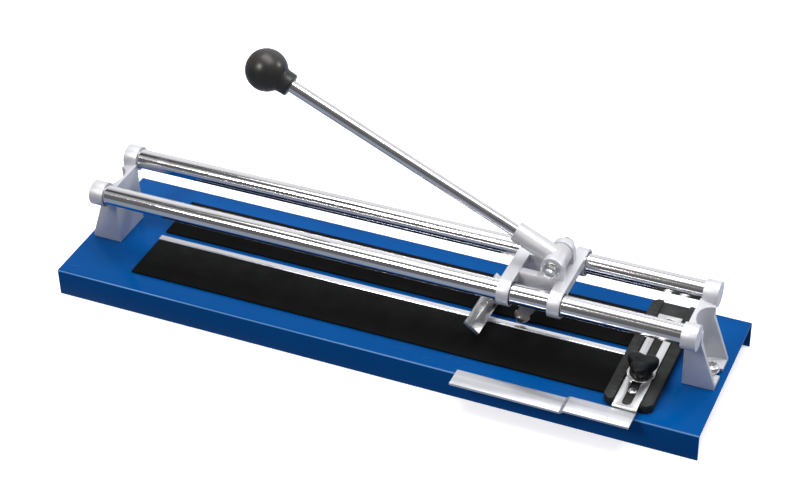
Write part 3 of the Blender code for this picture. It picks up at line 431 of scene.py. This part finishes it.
def threads(radius, low, high, pitch):
    """Profile points down a threaded shank, from its top to its tip."""
    points = []
    root = radius - 0.54 * pitch
    count = max(1, int((high - low) / pitch))
    for turn in range(count):
        top = high - turn * pitch
        crest_end, root_start, root_end = (top - share * pitch for share in (0.12, 0.45, 0.6))
        points += [(radius, top), (radius, crest_end), (root, root_start), (root, root_end)]
    return points + [(radius, high - count * pitch + 0.07 * pitch)]


def cross_recess(reach, width, top, depth):
    """A cross-shaped driver recess, as the shape that cuts it."""
    bars = []
    for across, along in ((reach, width), (width, reach)):
        bm = bmesh.new()
        bmesh.ops.create_cube(bm, size=1.0)
        bmesh.ops.scale(bm, vec=(across, along, 2 * depth), verts=bm.verts)
        low = [vert for vert in bm.verts if vert.co.z < 0]
        bmesh.ops.scale(bm, vec=(0.45, 0.45, 1), verts=low)
        bmesh.ops.translate(bm, vec=(0, 0, top), verts=bm.verts)
        bars.append(bm)
    return combined(bars[0], bars[1], "UNION")


# ================================================================ folded, turned and moulded pieces

def make_base_sheet(paint):
    """The base as one folded sheet, its bends round and its cut ends and holes eased."""
    low, high = corners("base")
    floor = corners("front_flange")[0].z
    half = (high.y - low.y) / 2
    middle = (high.y + low.y) / 2
    bend = 2.0 * MM
    outer_steps, inner_steps = 10, 5
    side, up = half - bend, high.z - bend
    outside = [(-half, floor), *eased(-side, up, bend, 180, 90, outer_steps)]
    outside += [*eased(side, up, bend, 90, 0, outer_steps), (half, floor)]
    inside = [(half - SHEET, floor), *eased(side, up, bend - SHEET, 0, 90, inner_steps)]
    inside += [*eased(-side, up, bend - SHEET, 90, 180, inner_steps), (SHEET - half, floor)]
    bm = bmesh.new()
    section = [bm.verts.new((low.x, middle + across, height)) for across, height in outside + inside]
    face = bm.faces.new(section)
    grown = bmesh.ops.extrude_face_region(bm, geom=[face])["geom"]
    moved = [item for item in grown if isinstance(item, bmesh.types.BMVert)]
    bmesh.ops.translate(bm, vec=(high.x - low.x, 0, 0), verts=moved)
    bmesh.ops.recalc_face_normals(bm, faces=bm.faces)
    ends = []
    for edge in bm.edges:
        lengthwise = abs(edge.verts[0].co.x - edge.verts[1].co.x) > SHEET
        at_foot = max(vert.co.z for vert in edge.verts) < 2 * SHEET
        if (lengthwise and at_foot) or (not lengthwise and edge.calc_face_angle() > 1.0):
            ends.append(edge)
    bmesh.ops.bevel(
        bm, geom=ends, offset=0.28 * MM, offset_type="OFFSET", segments=2, profile=0.5,
        affect="EDGES", clamp_overlap=True, material=-1)
    holes = (
        ("left_bracket_screw", M6_HOLE), ("right_bracket_screw", M6_HOLE), ("guide_screw", M4_HOLE),
        ("fence_rear_screw", M4_HOLE), ("clamp_stud", M6_HOLE))
    bottom = high.z - SHEET
    lip = 0.25 * MM
    for node, radius in holes:
        place = centre_of(node)
        wide = radius + lip + SHEET
        drill = [(0, high.z + SHEET), (wide, high.z + SHEET), (radius, high.z - lip)]
        drill += [(radius, bottom + lip), (wide, bottom - SHEET), (0, bottom - SHEET)]
        bm = combined(bm, stood(turned(drill, SMALL_ROUND), (place.x, place.y, 0)), "DIFFERENCE")
    nodes = ("base", "front_flange", "rear_flange")
    piece("base_sheet", bm, paint, "base_frame", "blue_paint", *nodes, crease=40)


PAN_HEAD = (
    # share of the head's radius, share of its height
    (0.0, 1.0), (0.55, 0.97), (0.82, 0.84), (0.95, 0.62), (1.0, 0.34), (1.0, 0.04), (0.97, 0.0),
)


def pan_screw(name, node, head_height, shank, material, downward=True):
    """A cross-head pan screw in place of its node, which stands upright or head down."""
    low, high = corners(node)
    head = (high.x - low.x) / 2
    length = high.z - low.z - head_height
    pitch = 0.32 * shank
    profile = [(across * head, up * head_height) for across, up in PAN_HEAD] + [(shank, 0)]
    profile += threads(shank, -length + 0.8 * MM, -1.0 * MM, pitch)
    profile += [(0.75 * shank, -length), (0, -length)]
    recess = cross_recess(1.15 * head, 0.3 * head, head_height, 0.6 * head_height)
    bm = combined(turned(profile, SMALL_ROUND), recess, "DIFFERENCE")
    bmesh.ops.rotate(bm, matrix=Matrix.Rotation(math.radians(24), 3, "Z"), verts=bm.verts)
    middle = (low + high) / 2
    if downward:
        stood(bm, (middle.x, middle.y, high.z - head_height))
    else:
        stood(bm, (middle.x, middle.y, low.z + head_height), (0, 0, -1))
    piece(name, bm, material, "base_frame", "zinc_plate", node)


def direction_of(axis):
    """The direction of an axis by its number."""
    return [float(number == axis) for number in range(3)]


def washer(name, node, material, body, axis):
    """A stamped flat washer with its edges rounded over."""
    low, high = corners(node)
    size = high - low
    thickness = size[axis]
    radius = size[(axis + 1) % 3] / 2
    ease = 0.22 * thickness
    half = thickness / 2
    mouth = M6_HOLE + 0.5 * ease
    profile = eased(radius - ease, half - ease, ease, 90, 0, 3)
    profile += eased(radius - ease, ease - half, ease, 0, -90, 3)
    profile += [(mouth, -half), (M6_HOLE, -half + ease), (M6_HOLE, half - ease), (mouth, half)]
    bm = stood(turned(profile), (low + high) / 2, direction_of(axis))
    piece(name, bm, material, body, "zinc_plate", node)


def hex_nut(name, node, shank, material, body, axis):
    """A hexagon nut with a threaded bore for a shank."""
    low, high = corners(node)
    size = high - low
    height = size[axis]
    flats = min(size[(axis + 1) % 3], size[(axis + 2) % 3])
    bm = hexagon(flats, -height / 2, height / 2)
    profile = [(0, height)] + threads(shank + 0.25 * MM, -height, height, 0.3 * shank) + [(0, -height)]
    bm = combined(bm, turned(profile, SMALL_ROUND), "DIFFERENCE")
    if axis == UPRIGHT:
        bmesh.ops.rotate(bm, matrix=Matrix.Rotation(math.radians(30), 3, "Z"), verts=bm.verts)
    stood(bm, (low + high) / 2, direction_of(axis))
    piece(name, bm, material, body, "zinc_plate", node)


def make_rail(name, node, material):
    """A ground bar with chamfered ends."""
    low, high = corners(node)
    radius = (high.z - low.z) / 2
    length = high.x - low.x
    ease = 0.6 * MM
    profile = [(0, length / 2), (radius - ease, length / 2), (radius, length / 2 - ease)]
    profile += [(radius, ease - length / 2), (radius - ease, -length / 2), (0, -length / 2)]
    bm = stood(turned(profile), (low + high) / 2, (1, 0, 0))
    piece(name, bm, material, "base_frame", "chrome", node)


def make_bush(name, node, material):
    """A plain bush with eased mouths."""
    low, high = corners(node)
    outer = (high.z - low.z) / 2
    wall = 0.9 * MM
    bore = outer - wall
    half = (high.x - low.x) / 2
    ease = 0.25 * MM
    profile = [(bore + ease, half), (outer - ease, half), (outer, half - ease), (outer, ease - half)]
    profile += [(outer - ease, -half), (bore + ease, -half), (bore, ease - half), (bore, half - ease)]
    bm = stood(turned(profile), (low + high) / 2, (1, 0, 0))
    piece(name, bm, material, "carriage", "black_nylon", node)


def make_ball(pivot, plastic):
    """The ball knob, its neck and the fine parting line of its mould."""
    low, high = corners("ball_knob")
    radius = (high.y - low.y) / 2
    centre = Vector((low.x + radius, (low.y + high.y) / 2, high.z - radius))
    away = (centre - pivot).normalized()
    neck = 9.3 * MM
    reach = 22.3 * MM
    bore = 5.25 * MM
    ease = 1.4 * MM
    meet = math.degrees(math.acos((neck + 1.0 * MM) / radius))
    steps = 40
    profile = [(0.0, radius)]
    for step in range(1, steps + 1):
        angle = math.radians(90 - (90 + meet) * step / steps)
        profile.append((radius * math.cos(angle), radius * math.sin(angle)))
    root = -math.sqrt(radius ** 2 - neck ** 2)
    profile += [(neck + 0.35 * MM, root - 0.25 * MM), (neck + 0.08 * MM, root - 0.8 * MM)]
    profile += [(neck - 0.1 * MM, -reach + 4 * MM)]
    profile += eased(neck - 0.12 * MM - ease, -reach + ease, ease, 0, -90, 6)
    profile += [(bore + 0.5 * MM, -reach), (bore, -reach + 0.5 * MM), (bore, 0.0), (0.0, 0.0)]
    bm = turned(profile)
    seam = 0.09 * MM    # how far the parting line stands out
    for vert in bm.verts:
        if abs(vert.co.y) < 0.02 * MM and math.hypot(vert.co.x, vert.co.y) > bore + 1.5 * MM:
            vert.co += vert.co.normalized() * seam
    stood(bm, centre, away)
    piece("lever_ball", bm, plastic, "lever", "black_plastic", "ball_knob", crease=40)
    return centre, away


def make_rod(pivot, centre, away, chrome):
    """The lever's bar, from the bottom of its socket to just past the ball's centre."""
    low, high = corners("lever_rod")
    radius = (high.y - low.y) / 2
    socket_bottom = 16.5 * MM
    past_centre = 3.0 * MM
    start = pivot + away * socket_bottom
    end = centre + away * past_centre
    length = (end - start).length
    ease = 0.5 * MM
    profile = [(0, length), (radius - ease, length), (radius, length - ease)]
    profile += [(radius, ease), (radius - ease, 0), (0, 0)]
    piece("lever_bar", stood(turned(profile), start, away), chrome, "lever", "chrome", "lever_rod")


def make_wheel(carbide_finish):
    """The scoring wheel: a bevelled rim round a shallow recess and a hub."""
    low, high = corners("cutting_wheel")
    radius = (high.z - low.z) / 2
    half = (high.y - low.y) / 2
    bore = 1.62 * MM
    bevel = 2.3 * MM
    recess = half - 0.25 * MM
    profile = [(bore, half), (2.9 * MM, half), (3.1 * MM, recess), (4.0 * MM, recess)]
    profile += [(4.15 * MM, half), (radius - bevel, half), (radius - 0.05 * MM, 0.1 * MM), (radius, 0.0)]
    profile += [(across, -up) for across, up in reversed(profile[:-1])]
    bm = stood(turned(profile), (low + high) / 2, (0, 1, 0))
    piece("scoring_wheel", bm, carbide_finish, "cutting_wheel", "carbide", "cutting_wheel")


def make_cross_pin(name, node, shank, head_height, material):
    """A pin riveted over at both ends, along Y."""
    low, high = corners(node)
    head = (high.z - low.z) / 2
    half = (high.y - low.y) / 2
    inner = half - head_height
    profile = [(0, half), (0.55 * head, half), (0.86 * head, half - 0.3 * head_height)]
    profile += [(head, half - 0.8 * head_height), (head, inner), (shank, inner)]
    profile += [(across, -up) for across, up in reversed(profile)]
    bm = stood(turned(profile, SMALL_ROUND), (low + high) / 2, (0, 1, 0))
    piece(name, bm, material, "lever", "zinc_plate", node)


def make_pivot_bolt(material):
    """The hexagon bolt through the lever, head in front and threaded tip behind."""
    low, high = corners("pivot_bolt")
    middle = (low + high) / 2
    flats = high.x - low.x
    head_height = 3.6 * MM
    shank = M6_SHANK
    far_above = 1.0
    dish_floor = head_height - 0.3 * MM
    dish = [(0, far_above), (0.3 * flats, far_above), (0.3 * flats, head_height)]
    dish += [(0.24 * flats, dish_floor), (0, dish_floor)]
    head = hexagon(flats, 0, head_height, chamfer_low=False)
    head = combined(head, turned(dish, SMALL_ROUND), "DIFFERENCE")
    length = high.y - low.y - head_height
    profile = [(0, 0.5 * MM), (shank, 0.5 * MM), (shank, -length + 12 * MM)]
    profile += threads(shank, -length + 0.6 * MM, -length + 11.6 * MM, M6_PITCH)
    profile += [(0.78 * shank, -length), (0, -length)]
    bolt = combined(head, turned(profile, SMALL_ROUND), "UNION")
    bmesh.ops.rotate(bolt, matrix=Matrix.Rotation(math.radians(12), 3, "Z"), verts=bolt.verts)
    stood(bolt, (middle.x, low.y + head_height, middle.z), (0, -1, 0))
    piece("pivot_hex_bolt", bolt, material, "carriage", "zinc_plate", "pivot_bolt")


KNOB_LEVELS = (
    # share of the height, radius in mm, share of the lobes
    (0.000, 8.3, 0.0), (0.012, 8.65, 0.0), (0.035, 8.8, 0.0), (0.110, 8.8, 0.0),
    (0.135, 8.72, 0.0), (0.150, 8.45, 0.04), (0.185, 8.50, 0.15), (0.250, 9.05, 0.42),
    (0.330, 9.65, 0.68), (0.430, 10.1, 0.86), (0.560, 10.4, 0.97), (0.700, 10.6, 1.00),
    (0.820, 10.6, 1.00), (0.885, 10.45, 1.0), (0.935, 10.05, 0.98), (0.968, 9.45, 0.95),
    (0.988, 8.6, 0.90), (0.998, 7.4, 0.80), (1.000, 5.6, 0.60), (0.992, 4.2, 0.30),
    (0.972, 3.7, 0.10), (0.955, 3.4, 0.00), (0.950, 1.8, 0.00),
)
KNOB_LOBE = 2.7 * MM
KNOB_LOBES = 3


def make_knob(plastic):
    """The clamp knob: a round foot that flares into three lobes, with a shallow dish on top."""
    low, high = corners("clamp_knob")
    middle = centre_of("clamp_stud")
    height = high.z - low.z
    bm = bmesh.new()
    bmesh.ops.create_circle(bm, cap_ends=True, segments=120, radius=1.0)

    def shape(verts, level):
        share, radius, lobed = level
        for vert in verts:
            angle = math.atan2(vert.co.y, vert.co.x)
            wave = math.cos(KNOB_LOBES * (angle + math.pi / 2))
            reach = radius * MM + lobed * KNOB_LOBE * wave
            vert.co = (reach * math.cos(angle), reach * math.sin(angle), share * height)

    lid = list(bm.faces)
    shape(bm.verts, KNOB_LEVELS[0])
    for step, level in enumerate(KNOB_LEVELS[1:]):
        grown = bmesh.ops.extrude_face_region(bm, geom=lid)["geom"]
        if step > 0:
            bmesh.ops.delete(bm, geom=lid, context="FACES_ONLY")
        lid = [item for item in grown if isinstance(item, bmesh.types.BMFace)]
        shape(lid[0].verts, level)
    stood(bm, (middle.x, middle.y, low.z))
    piece("gauge_knob", bm, plastic, "clamp_knob", "black_plastic", "clamp_knob", crease=60)


def make_stud(material):
    """The clamp's threaded stud, with its low round head under the base."""
    low, high = corners("clamp_stud")
    middle = (low + high) / 2
    head = (high.x - low.x) / 2
    shank = M6_SHANK
    head_height = 2.5 * MM
    length = high.z - low.z - head_height
    profile = [(0, length), (0.75 * shank, length)]
    profile += threads(shank, 6 * MM, length - 0.6 * MM, M6_PITCH)
    profile += [(shank, 0), (head, 0), (head, -0.35 * head_height), (0.9 * head, -0.7 * head_height)]
    profile += [(0.6 * head, -0.95 * head_height), (0, -head_height)]
    bm = stood(turned(profile, SMALL_ROUND), (middle.x, middle.y, low.z + head_height))
    piece("gauge_stud", bm, material, "base_frame", "zinc_plate", "clamp_stud")


def make_fence_scale(paint):
    """Moulded length marks along the fence's left band, longer at every fifth."""
    low, high = corners("fence")
    strip_edge = corners("gauge_strip")[0].x
    inner = strip_edge - 1.7 * MM
    middle = (low.y + high.y) / 2
    spacing = 5 * MM
    marks_each_way = 11
    width, thickness = 0.44 * MM, 0.3 * MM
    bm = bmesh.new()
    for mark in range(-marks_each_way, marks_each_way + 1):
        length = 4.6 * MM if mark % 5 == 0 else 2.6 * MM
        place = (inner - length / 2, middle + mark * spacing, high.z + 0.02 * MM)
        made = bmesh.ops.create_cube(bm, size=1.0)["verts"]
        bmesh.ops.scale(bm, vec=(length, width, thickness), verts=made)
        bmesh.ops.translate(bm, vec=place, verts=made)
    bmesh.ops.bevel(
        bm, geom=list(bm.edges), offset=0.06 * MM, offset_type="OFFSET", segments=1,
        profile=0.5, affect="EDGES", clamp_overlap=True, material=-1)
    piece("fence_marks", bm, paint, "base_frame", "black_plastic")


# ================================================================ putting the cutter together

def make_cutter():
    """Every finish, and every piece in its finish."""
    pivot = centre_of("pivot_washer_front").lerp(centre_of("pivot_washer_rear"), 0.5)
    ball_low, ball_high = corners("ball_knob")
    ball_radius = (ball_high.y - ball_low.y) / 2
    tilt = math.atan2(ball_high.z - ball_radius - pivot.z, pivot.x - ball_low.x - ball_radius)

    bed_rubber = rubber()
    rail_chrome = ground_chrome("ground chrome")
    rod_chrome = ground_chrome("ground chrome rod", tilt)
    casting = cast_metal("cast aluminium", (0.64, 0.655, 0.69), (0.72, 0.73, 0.76))
    hub_metal = cast_metal("cast lever metal", (0.56, 0.57, 0.59), (0.66, 0.665, 0.68))
    strip_steel = brushed(
        "brushed strip", (500, 7, 500), (0.70, 0.705, 0.715), (0.84, 0.845, 0.85), (0.22, 0.42))
    arm_steel = brushed(
        "brushed arm", (7, 420, 420), (0.68, 0.69, 0.725), (0.80, 0.81, 0.835), (0.30, 0.46),
        hairs=0.28)
    bar_steel = brushed(
        "drawn bar", (4, 600, 600), (0.78, 0.79, 0.83), (0.90, 0.905, 0.93), (0.16, 0.32))
    wing_steel = brushed(
        "breaker steel", (420, 9, 420), (0.62, 0.625, 0.62), (0.82, 0.825, 0.82), (0.30, 0.50))
    zinc = zinc_plate()
    nylon = moulded("black nylon", (0.010, 0.010, 0.011), (0.018, 0.018, 0.019), (0.35, 0.5))
    fence_black = moulded(
        "fence black", (0.010, 0.0115, 0.0105), (0.024, 0.026, 0.024), (0.46, 0.66), 1300, 0.3)
    knob_black = moulded(
        "knob black", (0.005, 0.0065, 0.0075), (0.011, 0.013, 0.0145), (0.34, 0.48), 2200, 0.24)
    ball_black = moulded(
        "ball brown black", (0.019, 0.021, 0.020), (0.033, 0.028, 0.025), (0.31, 0.37), 900, 0.45)
    mark_paint = moulded(
        "worn mark paint", (0.03, 0.032, 0.03), (0.11, 0.11, 0.108), (0.45, 0.6), specular=0.25)

    make_base_sheet(enamel())
    for side in ("front", "rear"):
        rounded(f"{side}_bed_pad", f"{side}_pad", 0.12 * MM, bed_rubber, "base_frame", "black_rubber")
        make_rail(f"{side}_rail_bar", f"{side}_rail", rail_chrome)
    rounded("snapping_rib", "snapping_bar", 0.1 * MM, bar_steel, "base_frame", "bright_steel", angle=50)
    rounded("fence_block", "fence", 0.45 * MM, fence_black, "base_frame", "black_plastic")
    make_fence_scale(mark_paint)
    rounded("gauge_slide_strip", "gauge_strip", 0.22 * MM, strip_steel, "gauge", "bright_steel")
    rounded("gauge_stop_arm", "stop_arm", 0.25 * MM, arm_steel, "gauge", "bright_steel", angle=20)
    rounded("breaker_wings", "breaker", 0.35 * MM, wing_steel, "breaker", "grey_steel")
    rounded(
        "carriage_casting", "carriage_body", 0.7 * MM, casting, "carriage", "cast_aluminium", segments=3)
    rounded("lever_casting", "lever_hub", 0.6 * MM, hub_metal, "lever", "cast_aluminium", segments=3)

    for side in ("left", "right"):
        bracket = f"{side}_bracket"
        rounded(
            f"{bracket}_casting", bracket, 0.7 * MM, casting, "base_frame", "cast_aluminium", segments=3)
        pan_screw(f"{bracket}_pan_screw", f"{bracket}_screw", 3.3 * MM, M6_SHANK, zinc)
        washer(f"{bracket}_flat_washer", f"{bracket}_washer", zinc, "base_frame", UPRIGHT)
        hex_nut(f"{bracket}_hex_nut", f"{bracket}_nut", M6_SHANK, zinc, "base_frame", UPRIGHT)
    for side in ("left", "right"):
        for place in ("front", "rear"):
            make_bush(f"{side}_{place}_rail_bush", f"{side}_{place}_bush", nylon)

    pan_screw("guide_pan_screw", "guide_screw", 2.0 * MM, M4_SHANK, zinc)
    hex_nut("guide_hex_nut", "guide_nut", M4_SHANK, zinc, "base_frame", UPRIGHT)
    pan_screw("fence_rear_pan_screw", "fence_rear_screw", 2.4 * MM, M4_SHANK, zinc, downward=False)
    make_stud(zinc)
    washer("gauge_washer", "clamp_washer", zinc, "base_frame", UPRIGHT)
    make_knob(knob_black)

    make_pivot_bolt(zinc)
    washer("pivot_front_flat_washer", "pivot_washer_front", zinc, "carriage", CROSSWISE)
    washer("pivot_rear_flat_washer", "pivot_washer_rear", zinc, "carriage", CROSSWISE)
    hex_nut("pivot_hex_nut", "pivot_nut", M6_SHANK, zinc, "carriage", CROSSWISE)
    centre, away = make_ball(pivot, ball_black)
    make_rod(pivot, centre, away, rod_chrome)
    make_wheel(carbide())
    make_cross_pin("wheel_rivet", "wheel_axle", 1.5 * MM, 0.8 * MM, zinc)
    make_cross_pin("breaker_rivet", "breaker_pin", 2.5 * MM, 1.0 * MM, zinc)


# ================================================================ studio and camera

def make_floor():
    """A wide white floor. The camera sees it, and it throws no light back on the cutter."""
    bm = bmesh.new()
    bmesh.ops.create_circle(bm, cap_ends=True, segments=64, radius=30.0)
    mesh = bpy.data.meshes.new("studio_floor")
    bm.to_mesh(mesh)
    bm.free()
    made = Finish("studio floor", specular=0.1)
    made.colour(made.shade(made.noise(3, detail=2.0), (0.95, 0.95, 0.955), (0.97, 0.97, 0.97)))
    made.shader.inputs["Roughness"].default_value = 0.9
    made.shader.inputs["Emission Color"].default_value = (1.0, 1.0, 1.0, 1.0)
    made.shader.inputs["Emission Strength"].default_value = 0.45
    mesh.materials.append(made.material)
    floor = bpy.data.objects.new("studio_floor", mesh)
    floor.visible_diffuse = False
    floor.visible_glossy = False
    bpy.context.scene.collection.objects.link(floor)


def soft_box(name, direction, distance, width, depth, power, colour):
    """A rectangular area light that faces the cutter."""
    light = bpy.data.lights.new(name, "AREA")
    light.shape = "RECTANGLE"
    light.size = width
    light.size_y = depth
    light.energy = power
    light.color = colour
    lamp = bpy.data.objects.new(name, light)
    towards = Vector(direction).normalized()
    aim = Vector((0, 0, 0.08))
    lamp.location = towards * distance + aim
    lamp.rotation_euler = towards.to_track_quat("Z", "Y").to_euler()
    lamp.visible_camera = False
    bpy.context.scene.collection.objects.link(lamp)


SKY = (
    # half of one plus the sine of the elevation, brightness
    (0.00, 0.80), (0.49, 0.80), (0.51, 0.90), (0.82, 0.88), (0.90, 0.60), (0.925, 0.50), (0.935, 0.05),
    (0.955, 0.05), (0.962, 0.85), (1.00, 0.85),
)
HORIZON = 0.5
GROUND_TINT = (0.84, 0.94, 1.14)
SKY_TINT = (1.0, 1.0, 1.03)


def make_sky():
    """A pale room: bright above and behind, dimmer in front and at the ends, bluish below."""
    world = bpy.data.worlds.new("studio")
    world.use_nodes = True
    tree = world.node_tree
    tree.nodes.clear()
    split = tree.nodes.new("ShaderNodeSeparateXYZ")
    tree.links.new(tree.nodes.new("ShaderNodeTexCoord").outputs["Generated"], split.inputs["Vector"])
    across, back, up = (split.outputs[axis] for axis in "XYZ")

    ramp = tree.nodes.new("ShaderNodeValToRGB")
    tree.links.new(ranged(tree, up, -1.0, 1.0, 0.0, 1.0), ramp.inputs["Fac"])
    while len(ramp.color_ramp.elements) < len(SKY):
        ramp.color_ramp.elements.new(0.5)
    for element, (at, level) in zip(ramp.color_ramp.elements, SKY):
        tint = GROUND_TINT if at < HORIZON else SKY_TINT
        element.position = at
        element.color = (*(level * part for part in tint), 1.0)

    dim_front = ranged(tree, back, -0.75, -0.05, 0.14, 1.0)
    lit_ground = ranged(tree, up, -0.15, -0.02, 0.42, 0.0)
    dim_ends = ranged(tree, worked(tree, "ABSOLUTE", across), 0.45, 0.85, 1.0, 0.35)
    strength = worked(tree, "MULTIPLY", worked(tree, "MAXIMUM", dim_front, lit_ground), dim_ends)

    backdrop = tree.nodes.new("ShaderNodeBackground")
    tree.links.new(ramp.outputs["Color"], backdrop.inputs["Color"])
    tree.links.new(strength, backdrop.inputs["Strength"])
    output = tree.nodes.new("ShaderNodeOutputWorld")
    tree.links.new(backdrop.outputs["Background"], output.inputs["Surface"])
    bpy.context.scene.world = world


def make_lights():
    """Two soft boxes that glint on the round parts, and a broad one overhead."""
    soft_box("front soft box", (-0.34, -0.645, 0.682), 3.4, 0.8, 0.8, 52, (1.0, 0.94, 0.92))
    soft_box("side soft box", (0.789, 0.392, 0.458), 3.4, 0.65, 0.65, 30, (1.0, 0.94, 0.93))
    soft_box("top soft box", (0.05, 0.12, 1.0), 1.8, 1.9, 0.9, 27, (1.0, 1.0, 1.0))


def make_camera():
    """A long lens in front of the cutter's right half, looking down at it."""
    lens = bpy.data.cameras.new("camera")
    lens.sensor_width = 36.0
    lens.lens = 91.25
    lens.clip_start = 0.05
    lens.clip_end = 100.0
    camera = bpy.data.objects.new("camera", lens)
    right = Vector((0.91777, 0.39650, -0.02215))
    up = Vector((-0.22080, 0.55586, 0.80141))
    back = Vector((0.33007, -0.73062, 0.59770))
    turn = Matrix((right, up, back)).transposed().to_4x4()
    camera.matrix_world = Matrix.Translation((0.52639, -1.14891, 1.01523)) @ turn
    bpy.context.scene.collection.objects.link(camera)
    bpy.context.scene.camera = camera


make_cutter()
make_floor()
make_sky()
make_lights()
make_camera()
bpy.context.scene.view_settings.view_transform = "Standard"
